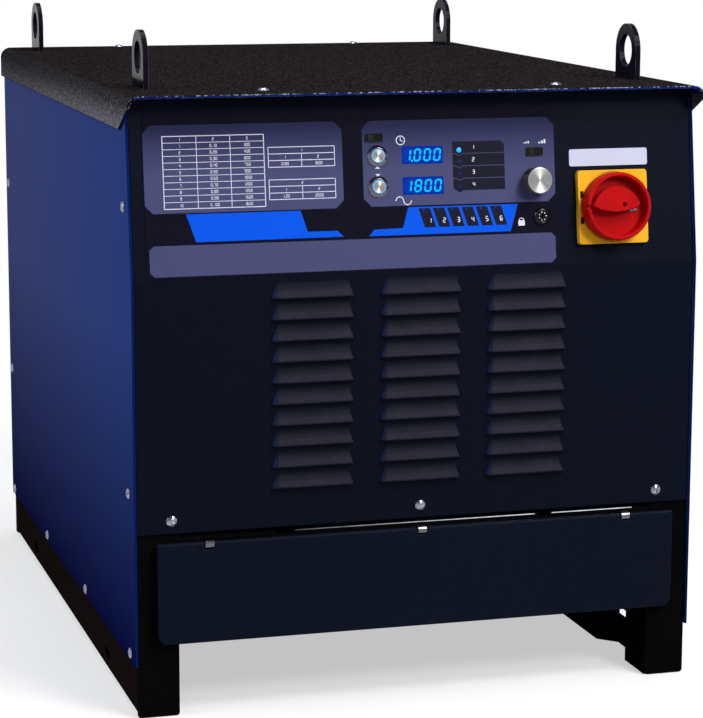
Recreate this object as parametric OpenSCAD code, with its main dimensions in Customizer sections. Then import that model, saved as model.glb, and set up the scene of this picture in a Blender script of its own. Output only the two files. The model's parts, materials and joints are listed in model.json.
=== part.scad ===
// Stud welder: a floor-standing welding power source cabinet.
// Millimetres. X runs to the operator's right, Y to the back, Z up from the floor.
// Inside the modules Y is measured from the front face of the front panel.

/* [Cabinet] */
// Width between the outer faces of the side panels
cab_w = 680; // [640:1:720]
// Depth from the front panel's face to the rear panel's face
cab_d = 907; // [860:1:960]
// Height from the floor to the top of the lid
cab_h = 713; // [690:1:740]
// Distance below the lid's top of the bend where the control panel starts to lean back
bend_z = 206; // [198:1:218]
// Angle by which the control panel leans back
tilt = 7.8; // [4:0.1:10]
// Height of the front panel's lower edge
panel_z = 215.5; // [205:0.5:225]
// Height of the side panels' lower edge
side_z = 62; // [50:1:80]
// How far the side panels stand in front of the front panel
side_lip = 2; // [0:0.5:4]
// Sheet thickness of the side panels
side_t = 3; // [1.5:0.5:4]
// Sheet thickness of the front and rear panels
panel_t = 2; // [1.5:0.5:3]
// Depth of the panels' folded top flanges
panel_flange = 26; // [20:1:40]

/* [Louvres] */
// Number of louvre columns
louvre_cols = 3; // [1:1:3]
// Number of louvres in a column
louvre_rows = 10; // [4:1:10]
// Length of one louvre
louvre_l = 99.5; // [80:0.5:110]
// Sheet left flat between two louvres of a column
louvre_h = 5.4; // [3.4:0.1:9.4]
// How far a louvre's hood stands out
louvre_d = 7.5; // [5:0.5:9]
// Sheet left in the drawn hood
louvre_t = 1.4; // [1:0.1:2]
// Distance between columns
louvre_dx = 129; // [120:0.5:140]
// Distance of the lowest row's lip above the front panel's lower edge
louvre_dz = 46.9; // [40:0.1:70]
// Distance of the top row's lower lip below the bend
louvre_z = 25; // [21:0.5:37]

/* [Lid] */
// Sheet thickness of the lid
lid_t = 3; // [2:0.5:4]
// Outer radius of the lid's side bends
lid_r = 14; // [10:0.5:18]
// Height of the lid's side flanges
lid_flange = 40; // [32:1:50]
// How far the lid stands in front of the front panel
lid_front = 6.5; // [4:0.5:14]
// How far the lid stands behind the rear panel
lid_rear = 9; // [4:0.5:14]
// How far back the tip of the cut-away flange lies
lid_cut = 45; // [36:1:60]
// Room between the lid's flanges and the side panels
lid_gap = 0.5; // [0.3:0.1:2]

/* [Base] */
// Sheet thickness of the runners
runner_t = 4; // [3:0.5:5]
// Outer radius of the runners' lower bend
runner_r = 10; // [7:0.5:14]
// Outer radius of the runners' upper bend
runner_top_r = 6; // [5.5:0.5:9]
// Height of the deck's underside above the floor
runner_h = 92; // [80:1:104]
// Width of the legs and of the runners' lower flange
leg_w = 49; // [44:1:56]
// Depth of the legs' inner returns
leg_d = 63; // [50:1:80]
// Sheet thickness of the corner posts
post_t = 3; // [2:0.5:4]
// Radius of the legs' lower corners
leg_r = 4; // [2:0.5:6]
// Width of the runners' upper flange
top_flange = 37; // [28:1:42]
// Width cut away from the lower flange behind each leg
relief_w = 21; // [10:1:26]
// Length of that cut
relief_l = 95; // [60:1:120]
// Length of the strap slots in the runners
strap_l = 30; // [20:1:40]
// Height of the strap slots
strap_h = 11; // [8:0.5:14]
// Distance of the strap slots from the ends of the cabinet
strap_y = 188; // [160:1:240]
// Height of the strap slots above the floor
strap_z = 24; // [22:1:40]
// Thickness of the floor deck
deck_t = 3; // [2:0.5:5]
// Room between the deck and the posts
deck_gap = 0.5; // [0.3:0.1:1]

/* [Top rails] */
// Sheet thickness of the top rails
rail_t = 3; // [2:0.5:4]
// Height of the top rails
rail_h = 58; // [50:1:80]
// Outer radius of the rails' outer bend
rail_r = 14; // [13:0.5:18]

/* [Lifting eyes] */
// Width of a lifting eye
eye_w = 63.5; // [55:0.5:70]
// Thickness of a lifting eye
eye_t = 6.35; // [5:0.05:8]
// Diameter of the hole in a lifting eye
eye_hole = 38; // [30:0.5:42]
// Height of a lifting eye above the lid
eye_rise = 66; // [62:1:80]
// Distance of a lifting eye's middle from the cabinet's side
eye_x = 39.7; // [28:0.1:46]
// Distance of the front eyes behind the front panel
eye_front_y = 127.5; // [100:0.5:180]
// Distance of the rear eyes before the rear panel
eye_rear_y = 55; // [50:1:180]
// Room round a lifting eye in the lid
eye_gap = 0.4; // [0.2:0.1:1]

/* [Flap] */
// How much narrower the cable flap is than the cabinet
flap_w = 51; // [30:1:80]
// Height of the cable flap below its hinge
flap_h = 115; // [100:1:116]
// Thickness of the cable flap
flap_t = 3; // [2:0.5:4]
// Radius of the flap's lower corners
flap_r = 12; // [6:1:20]
// Height of the flap's hinge
hinge_z = 203; // [198:0.5:204]
// Distance of the flap's hinge in front of the front panel
hinge_y = 6; // [5.5:0.5:10]
// Diameter of the hinge rod
rod_d = 3; // [2.5:0.5:4]
// Outer diameter of the rolled edge round the rod
hem_d = 6.4; // [6:0.1:8]
// Outer diameter of the hinge clips
clip_d = 10; // [9:0.5:10.5]
// Width of a hinge clip
clip_w = 10; // [6:0.5:16]
// Distance of the outer hinge clips from the flap's ends
clip_dx = 60.5; // [44.5:1:114.5]
// Thickness of a hinge clip's leaf
clip_t = 2; // [1.5:0.1:2.5]
// Radial clearance of the flap on its rod
rod_gap = 0.05; // [0.03:0.01:0.1]

/* [Cross member] */
// Height of the cross member behind the flap
cross_h = 46; // [40:1:60]
// Height of the cross member's upper face
cross_z = 212; // [208:0.5:214]
// Depth of the cross member
cross_d = 30; // [20:1:40]
// Outer radius of the cross member's bends
cross_r = 6; // [4:0.5:10]
// Width of the two gaps in the cross member's upper bend
cross_gap = 25; // [10:1:40]
// Distance of those gaps from the middle
cross_gap_x = 161; // [140:1:190]
// Width of the tab that holds the front panel
cross_tab = 40; // [24:1:60]

/* [Connector bay] */
// Distance of the connector panel behind the front panel
bay_y = 58; // [50:1:59]
// Distance of the weld sockets from the middle
socket_x = 150; // [110:1:200]
// Height of the sockets' middle above the deck
socket_up = 56; // [45:1:64]
// Outer diameter of a weld socket's flange
socket_d = 52; // [46:1:60]
// Bore of a weld socket
socket_bore = 13; // [10:0.5:16]
// Depth of a weld socket's bore
socket_deep = 28; // [20:1:32]
// Diameter of the gun control socket
plug_d = 28; // [24:1:34]

/* [Screws] */
// Head diameter of the panel screws
head_d = 12.5; // [10:0.5:14]
// Head height of the panel screws
head_h = 3.6; // [3:0.1:5]
// Shank diameter of the panel screws
shank_d = 6; // [5:0.5:7]
// Diametral room round a shank
shank_gap = 0.6; // [0.3:0.1:1]
// Length of a shank
shank_l = 12; // [10:1:16]

/* [Control overlay] */
// Distance of the overlay's left edge from the cabinet's left side
over_x0 = 19; // [10:1:40]
// Distance of the overlay's right edge from the cabinet's right side
over_x1 = 174; // [165:1:180]
// Lower edge of the overlay, measured up the leaning panel from its bend
over_u0 = 1.5; // [1:0.5:4]
// Upper edge of the overlay
over_u1 = 186; // [180:1:190]
// Thickness of the overlay
over_t = 0.8; // [0.5:0.1:1.5]
// Room round everything that passes through the leaning panel
cut_gap = 0.2; // [0.1:0.05:0.5]

/* [Displays and buttons] */
// Width of a display window
disp_w = 49.4; // [44:0.1:54]
// Height of a display window
disp_h = 20.6; // [17:0.1:24]
// Middle of the displays, to the right of the cabinet's middle
disp_x = 4.7; // [0:0.1:8]
// Middle of the upper display, up the panel
time_u = 132.3; // [130:0.1:136]
// Middle of the lower display, up the panel
amps_u = 97.2; // [94:0.1:100]
// Depth of a display's body
disp_depth = 12; // [8:0.5:20]
// Distance of the push buttons from the middle
button_x = -49.2; // [-52:0.1:-46]
// Bezel diameter of a push button
bezel_d = 24; // [20:0.5:26]
// Barrel diameter of a push button
barrel_d = 19; // [17.5:0.5:20]
// Diameter of a push button's cap
cap_d = 16; // [12:0.5:16.5]
// How far a bezel stands out
bezel_h = 2.6; // [2:0.1:4]
// Travel of a push button
button_travel = 1.6; // [1:0.1:2.2]

/* [Rocker switches] */
// Width of a rocker switch's bezel
rocker_w = 20.6; // [18:0.1:24]
// Height of a rocker switch's bezel
rocker_h = 9.8; // [9:0.1:13]
// Rim of the bezel round the rocker
rocker_rim = 1.5; // [1.2:0.1:2]
// Middle of the left rocker switch
rocker_a_x = -52.4; // [-54:0.1:-50]
// Height of the left rocker switch, up the panel
rocker_a_u = 153.5; // [153:0.1:156]
// Distance of the right rocker switch's middle from the overlay's right edge
rocker_b_x = 25; // [22:0.1:28]
// Height of the right rocker switch, up the panel
rocker_b_u = 133; // [130:0.1:140]
// Angle by which a rocker lies over at rest
rocker_tilt = 8; // [4:0.5:10]
// Diameter of a rocker's pivot pin
pivot_d = 1.6; // [1.2:0.1:2]

/* [Dial and key lock] */
// Distance of the dial's middle from the overlay's right edge
dial_x = 25.6; // [24:0.1:32]
// Height of the dial, up the panel
dial_u = 99; // [95:0.1:106]
// Diameter of the dial's knob
dial_d = 31.5; // [24:0.5:34]
// Length of the dial's knob
dial_l = 19; // [16:0.5:26]
// Diameter of the dial's shaft
dial_shaft = 6; // [5:0.5:7]
// Diameter of the encoder's threaded bush
bush_d = 9; // [8.5:0.5:11]
// Travel of the dial when it is pressed
dial_travel = 1; // [0.5:0.1:1.2]
// Distance of the key lock's middle from the overlay's right edge
lock_x = 18; // [16:0.5:22]
// Height of the key lock, up the panel
lock_u = 57.5; // [54:0.5:62]
// Diameter of the key lock's flange
lock_d = 20; // [18:0.5:24]
// Diameter of the turning barrel
lock_barrel = 12; // [9:0.5:13]

/* [Mains isolator] */
// Distance of the isolator's middle from the cabinet's right side
iso_x = 105.8; // [100:0.1:114]
// Height of the isolator, up the panel
iso_u = 66; // [60:0.5:72]
// Side of the isolator's square plate
plate_w = 86; // [80:0.5:92]
// Thickness of the plate
plate_t = 8; // [6:0.5:10]
// Corner radius of the plate
plate_r = 4; // [2:0.5:8]
// Diameter of the rotary handle
handle_d = 79; // [70:0.5:80]
// How far the handle's rim stands out from the plate
handle_h = 21; // [16:0.5:26]
// Width of the handle's rim
handle_rim = 4; // [3:0.5:6]
// Thickness of the handle's floor
handle_floor = 7; // [5:0.5:9]
// Diameter of the handle's hub
hub_d = 30; // [24:0.5:40]
// Side of the square shaft
iso_shaft = 8; // [6:0.5:10]
// Side of the switch body behind the panel
iso_body = 72; // [60:1:76]
// Depth of the switch body
iso_depth = 64; // [40:1:80]

/* [Inside] */
// Width of the main transformer's core
core_w = 420; // [360:1:440]
// Height of the main transformer's core
core_h = 330; // [280:1:360]
// Stack of the main transformer's core
core_d = 110; // [90:1:140]
// Width of a core limb
limb_w = 70; // [60:1:80]
// Thickness of a winding
coil_t = 30; // [20:1:34]
// Room between the weld sockets' studs and the heat sink
stud_gap = 13; // [8:1:30]
// Room between the heat sink and the windings
sink_gap = 7; // [5:1:20]
// Length of the rectifier's heat sink
sink_l = 260; // [200:1:300]
// Width of the rectifier's heat sink
sink_w = 180; // [140:1:200]
// Height of the rectifier's heat sink
sink_h = 75; // [60:1:90]
// Number of fins on the heat sink
sink_fins = 13; // [8:1:16]
// Width of the output choke's core
choke_w = 190; // [160:1:220]
// Height of the output choke's core
choke_h = 180; // [150:1:200]
// Diameter of the fan
fan_d = 250; // [200:1:280]
// Number of fan blades
fan_blades = 6; // [4:1:8]
// Distance of the fan's frame before the rear panel
fan_y = 110; // [95:1:130]
// Room between the blade tips and the fan's frame
fan_gap = 4; // [2:0.5:8]
// Diameter of the fan motor
motor_d = 92; // [80:1:110]
// Distance of the control board behind the leaning panel
board_back = 42; // [30:1:60]
// Room between the control board and the isolator's switch
board_gap = 28.2; // [10:0.1:60]

/* [Cable gland] */
// Distance of the mains cable gland's middle from the cabinet's side
gland_x = 110; // [90:1:140]
// Height of the mains cable gland
gland_z = 165; // [150:1:190]
// Bore of the gland
gland_bore = 30; // [20:1:32]
// How far the gland stands out behind the cabinet
gland_l = 36; // [28:1:44]

/* [Hidden] */
$fn = 48;

// How far cuts run past the faces they open
over = 1;
half_w = cab_w / 2;
// Outer face of the runners and posts, on which the side panels lie
frame_x = half_w - side_t;
leg_in = frame_x - leg_w;
deck_z = runner_h + deck_t;
lid_under = cab_h - lid_t;
bend_at = cab_h - bend_z;
rail_z = lid_under - rail_h;
lean_back = (lid_under - bend_at) * tan(tilt);
lid_x = half_w + lid_gap + lid_t;
hole_d = shank_d + shank_gap;
front_reach = (plate_t + handle_h) * cos(tilt) - (iso_u - handle_d / 2) * sin(tilt);
mid_y = (cab_d + gland_l - front_reach) / 2;
eye_at = half_w - eye_x;
eye_in = eye_at - eye_t / 2;
eye_mid_z = cab_h + eye_rise - eye_w / 2;
rear_mid_y = cab_d - eye_rear_y;

// Screw places: Y and Z on the sides, X and Y on the lid, X and Z on the front and rear
post_screw_y = 24;
side_row_z = side_z + 10;
side_row_step = (cab_d - 2 * post_screw_y) / 3;
slope_screw_z = bend_at + bend_z * 0.388;
side_span = rail_z - side_z;
side_spots = [
    for (i = [0:3]) [post_screw_y + i * side_row_step, side_row_z],
    [post_screw_y, side_z + side_span * 0.336],
    [post_screw_y + (slope_screw_z - bend_at) * tan(tilt), slope_screw_z],
    [cab_d - post_screw_y, side_z + side_span * 0.322],
    [cab_d - post_screw_y, side_z + side_span * 0.78]];
lid_screw_x = 176;
lid_front_y = lean_back + panel_t / cos(tilt) + panel_flange / 2;
lid_rear_y = cab_d - panel_t - panel_flange / 2;
front_screw_x = leg_in + 8;
front_screw_z = panel_z + 15;
rear_screw_z = [runner_h + 26, cab_h / 2, rail_z - 20];
tab_top = front_screw_z + 10;

// Front panel: louvre rows between its bend and its lower edge, and the places of its controls
louvre_top = bend_at - louvre_z;
louvre_step = (louvre_top - panel_z - louvre_dz) / max(1, louvre_rows - 1);
hood_h = louvre_step - louvre_h;
face_h = hood_h * 0.6;
face_share = 0.68;
over_left = over_x0 - half_w;
over_right = half_w - over_x1;
rocker_b_at = over_right - rocker_b_x;
dial_at = over_right - dial_x;
lock_at = over_right - lock_x;
iso_at = half_w - iso_x;
flap_span = cab_w - flap_w;
clip_at = flap_span / 2 - clip_dx;
gland_at = half_w - gland_x;

// Rocker switches: depth of the case, and the pivot's place behind the panel's face
rocker_case = 13;
rocker_pivot_z = -1.5;
rocker_in_w = rocker_w - rocker_rim;
rocker_in_h = rocker_h - rocker_rim;

// Key lock: flange, body behind the panel, and its lock nut
lock_face = 3;
lock_deep = 22;
lock_body_d = lock_d - 4;
lock_nut = 4;

// Encoder: case, bush, and the push plate in the case's hollow
encoder_case = 11;
encoder_w = 17;
bush_l = 9;
push_t = 1.5;
push_d = encoder_w - 4;
push_floor = -panel_t - encoder_case + 1.5;
push_z = push_floor + dial_travel + 0.5;
shaft_top = over_t + dial_l - 4;

// Isolator: depth of the round seat in its plate
seat_deep = 1.5;

// Connector bay: its sheet, and the lengths of a weld socket before and behind it
bay_t = 3;
socket_z = deck_z + socket_up;
socket_body_d = socket_d - 14;
shroud_l = 22;
socket_body_l = bay_t + 24;
socket_stud_l = bay_t + 44;
socket_stud_d = 20;

// Inside: places and sizes that several pieces share
foot_h = 20;
window_w = (core_w - 3 * limb_w) / 2;
coil_w = min(coil_t, window_w / 2 - 1);
sink_y = bay_y + socket_stud_l + stud_gap + sink_l / 2;
core_y = sink_y + sink_l / 2 + sink_gap + coil_w + core_d / 2;
sink_base = 12;
sink_x = -140;
choke_x = 130;
fan_mid_z = deck_z + fan_d * 0.76;
fan_face = cab_d - fan_y;
fan_plate = 3;
motor_l = 70;
motor_shaft = 8;
motor_reach = 45;
gland_thread = gland_bore + 10;
panel_w = 2 * frame_x - 2 * cut_gap;
flange_x = eye_at - eye_t - rail_t - over;

// Moves a piece into the part's own frame
module home() {
    translate([0, -mid_y, 0]) children();
}

// Draws on the right side, or mirrored on the left
module sided(side) {
    mirror([side < 0 ? 1 : 0, 0, 0]) children();
}

// X right, Y up, Z out of the front panel's face
module on_front(x = 0, z = 0) {
    home() rotate([90, 0, 0]) translate([x, z, 0]) children();
}

// X right, Y up the leaning panel from its bend, Z out of its face
module on_lean(x = 0, u = 0) {
    home() translate([0, 0, bend_at]) rotate([90 - tilt, 0, 0]) translate([x, u, 0]) children();
}

// X left, Y up, Z out of the rear panel's face
module on_rear(x = 0, z = 0) {
    home() translate([0, cab_d, 0]) rotate([90, 0, 180]) translate([x, z, 0]) children();
}

// Places a side profile, drawn with Y across and Z up, between two X values
module across(x0, x1) {
    translate([x0, 0, 0]) rotate([90, 0, 90]) linear_extrude(x1 - x0) children();
}

// Places a front profile, drawn with X across and Z up, between two Y values
module along(y0, y1) {
    translate([0, y1, 0]) rotate([90, 0, 0]) linear_extrude(y1 - y0) children();
}

// A rectangle with round corners, centred
module round_rect(w, h, r) {
    square([w - 2 * r, h], center = true);
    square([w, h - 2 * r], center = true);
    for (x = [-1, 1], y = [-1, 1]) translate([x * (w / 2 - r), y * (h / 2 - r)]) circle(r);
}

// A rectangle from the origin whose right-hand corners have their own radii
module bent_rect(w, h, low_r, high_r) {
    r = max(low_r, high_r);
    square([w - r, h]);
    translate([0, low_r]) square([w, h - low_r - high_r]);
    translate([w - low_r, low_r]) circle(low_r);
    translate([w - high_r, h - high_r]) circle(high_r);
    square([w - low_r, h - high_r]);
    translate([0, low_r]) square([w - high_r, h - low_r]);
}

// The space taken by the leaning panel and all that lies before it
module before_lean() {
    translate([0, 0, bend_at]) rotate([-tilt, 0, 0])
        translate([-cab_w, -cab_d, -panel_z]) cube([2 * cab_w, cab_d + panel_t, cab_h]);
}

// Runs its children at each screw of the right-hand side panel, with Z outwards
module at_side_screws() {
    for (s = side_spots) translate([half_w, s[0], s[1]]) rotate([0, 90, 0]) children();
}

// Runs its children at each lid screw, with Z upwards
module at_lid_screws() {
    for (x = [-1, 1], y = [lid_front_y, lid_rear_y]) translate([x * lid_screw_x, y, cab_h]) children();
}

// Runs its children at each front panel screw, with Z outwards
module at_front_screws() {
    for (x = [-1, 0, 1]) translate([x * front_screw_x, 0, front_screw_z]) rotate([90, 0, 0]) children();
}

// Runs its children at each rear panel screw, with Z outwards
module at_rear_screws() {
    for (x = [-1, 1], z = rear_screw_z)
        translate([x * front_screw_x, cab_d, z]) rotate([-90, 0, 0]) children();
}

module screw_hole() {
    translate([0, 0, -shank_l - over]) cylinder(d = hole_d, h = shank_l + 2 * over);
}

// A pan-head screw with a cross recess, its head seated at Z 0
module pan_screw() {
    dome_r = (head_d * head_d / 4 + head_h * head_h) / (2 * head_h) + 1.5;
    recess_w = head_d / 7;
    recess_l = head_d / 1.8;
    difference() {
        union() {
            intersection() {
                cylinder(d = head_d, h = head_h);
                translate([0, 0, head_h - dome_r]) sphere(dome_r);
            }
            translate([0, 0, -shank_l]) cylinder(d = shank_d, h = shank_l + head_h / 2);
        }
        for (a = [0, 90]) rotate([0, 0, a])
            translate([-recess_l / 2, -recess_w / 2, head_h * 0.55]) cube([recess_l, recess_w, head_h]);
    }
}

// Folded runner: outer wall, lower flange with reliefs, upper flange under the deck
module runner(side) {
    y0 = panel_t + post_t;
    y1 = cab_d - y0;
    relief_y = panel_t + leg_d;
    home() sided(side) color("black") difference() {
        along(y0, y1) translate([leg_in, 0]) difference() {
            bent_rect(leg_w, runner_h, runner_r, runner_top_r);
            translate([-over, runner_t])
                bent_rect(leg_w + over - runner_t, runner_h - 2 * runner_t, runner_r - runner_t,
                    runner_top_r - runner_t);
            translate([-over, runner_h - 2 * runner_t])
                square([leg_w - top_flange + over, 2 * runner_t + over]);
        }
        for (m = [0, 1]) translate([0, m * cab_d, -over]) mirror([0, m, 0])
            linear_extrude(runner_t + 2 * over)
                translate([leg_in, relief_y]) polygon([[-over, 0], [0, 0], [relief_w, relief_w],
                    [relief_w, relief_l - relief_w], [0, relief_l], [-over, relief_l]]);
        for (y = [strap_y, cab_d - strap_y]) translate([frame_x, y, strap_z])
            cube([4 * runner_t, strap_l, strap_h], center = true);
        at_side_screws() screw_hole();
    }
}

module base_runner_left() runner(-1);
module base_runner_right() runner(1);

// Flat deck on the runners' upper flanges, notched round the posts
module floor_deck() {
    in_y = panel_t + leg_d + deck_gap;
    out_y = panel_t + post_t + deck_gap;
    home() color("dimgray") translate([0, 0, runner_h]) linear_extrude(deck_t) {
        translate([-(frame_x - runner_top_r), in_y]) square([2 * (frame_x - runner_top_r), cab_d - 2 * in_y]);
        translate([-(leg_in - deck_gap), out_y]) square([2 * (leg_in - deck_gap), cab_d - 2 * out_y]);
    }
}

// Corner post: leg face, inner return and outer flange
module post(side, rear) {
    face_top = rear ? rail_z : bend_at;
    face_y0 = panel_t;
    face_y1 = panel_t + post_t;
    home() translate([0, rear ? cab_d : 0, 0]) mirror([0, rear ? 1 : 0, 0]) sided(side)
        color("black") difference() {
            union() {
                along(face_y0, face_y1) translate([leg_in, 0]) {
                    translate([0, leg_r]) square([leg_w, face_top - leg_r]);
                    translate([leg_r, 0]) square([leg_w - 2 * leg_r, leg_r]);
                    for (x = [leg_r, leg_w - leg_r]) translate([x, leg_r]) circle(leg_r);
                }
                translate([leg_in, face_y0, runner_t]) cube([post_t, leg_d, rail_z - runner_t]);
                translate([frame_x - post_t, face_y0, deck_z])
                    cube([post_t, leg_d, rail_z - deck_z]);
            }
            if (!rear) before_lean();
            post_holes(rear);
        }
}

// Screw holes in a corner post, in the frame of a front post
module post_holes(rear) {
    for (s = side_spots) if ((s[0] > cab_d / 2) == rear)
        translate([half_w, rear ? cab_d - s[0] : s[0], s[1]]) rotate([0, 90, 0]) screw_hole();
    if (rear) for (z = rear_screw_z) translate([front_screw_x, 0, z]) rotate([90, 0, 0]) screw_hole();
    else translate([front_screw_x, 0, front_screw_z]) rotate([90, 0, 0]) screw_hole();
}

module front_post_left() post(-1, false);
module front_post_right() post(1, false);
module rear_post_left() post(-1, true);
module rear_post_right() post(1, true);

// Folded rail under the lid that carries two lifting eyes
module rail(side) {
    wall_in = eye_in - rail_t;
    rail_w = frame_x - wall_in;
    home() sided(side) color("black") difference() {
        along(panel_t + post_t, cab_d - panel_t - post_t) translate([wall_in, rail_z]) difference() {
            bent_rect(rail_w, rail_h, rail_t / 2, rail_r);
            translate([rail_t, -over])
                bent_rect(rail_w - 2 * rail_t, rail_h + over - rail_t, rail_t / 4, rail_r - rail_t);
        }
        before_lean();
        for (y = [eye_front_y, rear_mid_y])
            translate([eye_in, y - eye_w / 2 - eye_gap, rail_z - over])
                cube([eye_t + eye_gap, eye_w + 2 * eye_gap, rail_h + 2 * over]);
        at_side_screws() screw_hole();
    }
}

module top_rail_left() rail(-1);
module top_rail_right() rail(1);

// Cross member over the connector bay, with a tab behind the front panel
module front_cross_member() {
    low_z = cross_z - cross_h;
    home() color("black") difference() {
        union() {
            across(-leg_in, leg_in) translate([panel_t + cross_d, low_z]) mirror([1, 0]) difference() {
                bent_rect(cross_d, cross_h, cross_r, cross_r);
                translate([-over, post_t])
                    bent_rect(cross_d + over - post_t, cross_h - 2 * post_t, cross_r - post_t,
                        cross_r - post_t);
            }
            translate([-cross_tab / 2, panel_t, cross_z - cross_h / 2])
                cube([cross_tab, post_t, tab_top - cross_z + cross_h / 2]);
        }
        for (x = [-1, 1]) translate([x * cross_gap_x - cross_gap / 2, panel_t - over, cross_z - cross_r])
            cube([cross_gap, cross_r + over, cross_r + over]);
        at_front_screws() screw_hole();
    }
}

// Plain side panel whose front edge follows the leaning panel
module side_panel(side) {
    top_z = cab_h - lid_r - over;
    home() sided(side) color("midnightblue") difference() {
        across(frame_x, half_w) polygon([[-side_lip, side_z], [cab_d + side_lip, side_z],
            [cab_d + side_lip, top_z], [(top_z - bend_at) * tan(tilt) - side_lip, top_z],
            [-side_lip, bend_at]]);
        at_side_screws() screw_hole();
    }
}

module side_panel_left() side_panel(-1);
module side_panel_right() side_panel(1);

// Lid folded down at both sides, its flanges cut away at the front
module lid() {
    home() color("black") difference() {
        along(-lid_front, cab_d + lid_rear) for (m = [0, 1]) mirror([m, 0]) difference() {
            translate([0, cab_h - lid_flange]) bent_rect(lid_x, lid_flange, 0.5, lid_r);
            translate([-over, cab_h - lid_flange - over])
                bent_rect(lid_x - lid_t + over, lid_flange + over - lid_t, 0.5, lid_r - lid_t);
        }
        across(-cab_w, cab_w) polygon([[-lid_front - over, cab_h - lid_r],
            [-lid_front - over, cab_h - lid_flange - over], [lid_cut, cab_h - lid_flange - over],
            [lid_cut, cab_h - lid_flange], [-lid_front, cab_h - lid_r]]);
        for (x = [-1, 1], y = [eye_front_y, rear_mid_y]) translate([x * eye_at, y, cab_h])
            cube([eye_t + 2 * eye_gap, eye_w + 2 * eye_gap, 4 * lid_t], center = true);
        at_lid_screws() screw_hole();
    }
}

// Outline of a louvre's hood seen from its end: a sloped face that runs out into the sheet in a few flats
module louvre_outline() {
    flats = 3;
    polygon(concat([[0, 0], [louvre_d, 0]], [for (i = [0:flats])
        [louvre_d * (1 - face_share) * pow(1 - i / flats, 1.7), face_h + (hood_h - face_h) * i / flats]]));
}

// The hollow behind that face
module louvre_hollow() {
    depth = louvre_d - louvre_t;
    polygon([[0, -over], [depth, -over], [depth, 0], [0, depth * face_h / (louvre_d * face_share)]]);
}

// Sheet sections of all the hoods in one column, one above the other
module hood_column() {
    for (r = [0:louvre_rows - 1]) translate([0, louvre_top - r * louvre_step]) difference() {
        louvre_outline();
        louvre_hollow();
    }
}

// Drawn hoods with round ends, standing out towards the front
module louvre_hoods() {
    straight = louvre_l - 2 * louvre_d;
    for (c = [0:louvre_cols - 1]) translate([(c - (louvre_cols - 1) / 2) * louvre_dx, 0, 0]) {
        translate([straight / 2, 0, 0]) rotate([90, 0, -90]) linear_extrude(straight) hood_column();
        translate([straight / 2, 0, 0]) rotate([0, 0, -90]) rotate_extrude(angle = 90) hood_column();
        translate([-straight / 2, 0, 0]) rotate([0, 0, 180]) rotate_extrude(angle = 90) hood_column();
    }
}

// Slots behind the hoods, seen from the front
module louvre_slots() {
    slot_l = louvre_l - 2 * louvre_d;
    slot_h = hood_h * 0.7;
    for (c = [0:louvre_cols - 1], r = [0:louvre_rows - 1])
        translate([(c - (louvre_cols - 1) / 2) * louvre_dx - slot_l / 2, louvre_top - r * louvre_step])
            square([slot_l, slot_h]);
}

// Cuts the louvres' slots in a sheet and sets their hoods on it
module louvred() {
    difference() {
        children();
        rotate([90, 0, 0]) translate([0, 0, -2 * panel_t]) linear_extrude(3 * panel_t) louvre_slots();
    }
    louvre_hoods();
}

// The corners outside the lid's inner bends, from front to rear
module lid_corners() {
    for (m = [0, 1]) mirror([m, 0, 0]) along(-lid_front, cab_d + lid_rear)
        translate([lid_x - lid_r, cab_h - lid_r]) difference() {
            square(lid_r);
            circle(lid_r - lid_t - cut_gap);
        }
}

// Openings in the leaning panel and its overlay, drawn in the leaning frame
module control_cuts() {
    for (u = [time_u, amps_u]) {
        translate([disp_x, u]) square([disp_w + 2 * cut_gap, disp_h + 2 * cut_gap], center = true);
        translate([button_x, u]) circle(d = barrel_d + 2 * cut_gap);
    }
    for (s = [[rocker_a_x, rocker_a_u], [rocker_b_at, rocker_b_u]]) translate(s)
        square([rocker_in_w + 2 * cut_gap, rocker_in_h + 2 * cut_gap], center = true);
    translate([dial_at, dial_u]) circle(d = bush_d + 2 * cut_gap);
    translate([lock_at, lock_u]) circle(d = lock_body_d + 2 * cut_gap);
}

// Front panel: louvred below, leaning back above its bend, folded under the lid
module front_panel() {
    home() color([0.06, 0.07, 0.11]) difference() {
        union() {
            louvred() across(-panel_w / 2, panel_w / 2)
                polygon([[0, panel_z], [0, bend_at], [lean_back, lid_under],
                    [lean_back + panel_t / cos(tilt), lid_under],
                    [panel_t, bend_at - panel_t * tan(tilt / 2)], [panel_t, panel_z]]);
            translate([-flange_x, lean_back + over, lid_under - panel_t])
                cube([2 * flange_x, panel_flange + panel_t / cos(tilt) - over, panel_t]);
        }
        translate([0, 0, bend_at]) rotate([90 - tilt, 0, 0]) translate([0, 0, -2 * panel_t])
            linear_extrude(3 * panel_t) {
                control_cuts();
                translate([iso_at, iso_u]) circle(d = hub_d + 2 * cut_gap);
            }
        lid_corners();
        at_front_screws() screw_hole();
        at_lid_screws() screw_hole();
    }
}

// Louvred rear panel with the cable gland's hole, folded under the lid
module rear_panel() {
    home() color([0.06, 0.07, 0.11]) difference() {
        union() {
            translate([0, cab_d, 0]) rotate([0, 0, 180]) louvred()
                translate([-panel_w / 2, 0, deck_z]) cube([panel_w, panel_t, lid_under - deck_z]);
            translate([-flange_x, cab_d - panel_t - panel_flange, lid_under - panel_t])
                cube([2 * flange_x, panel_flange + panel_t / 2, panel_t]);
        }
        lid_corners();
        at_rear_screws() screw_hole();
        at_lid_screws() screw_hole();
        translate([-gland_at, cab_d, gland_z]) rotate([90, 0, 0])
            cylinder(d = gland_thread + 2 * cut_gap, h = 4 * panel_t, center = true);
    }
}

// Lifting eye: a round-topped plate that stands through the lid
module lifting_eye(side, y) {
    home() sided(side) color("black") difference() {
        across(eye_in, eye_in + eye_t) difference() {
            union() {
                translate([y - eye_w / 2, rail_z]) square([eye_w, eye_mid_z - rail_z]);
                translate([y, eye_mid_z]) circle(d = eye_w);
            }
            translate([y, eye_mid_z]) circle(d = eye_hole);
        }
    }
}

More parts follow.
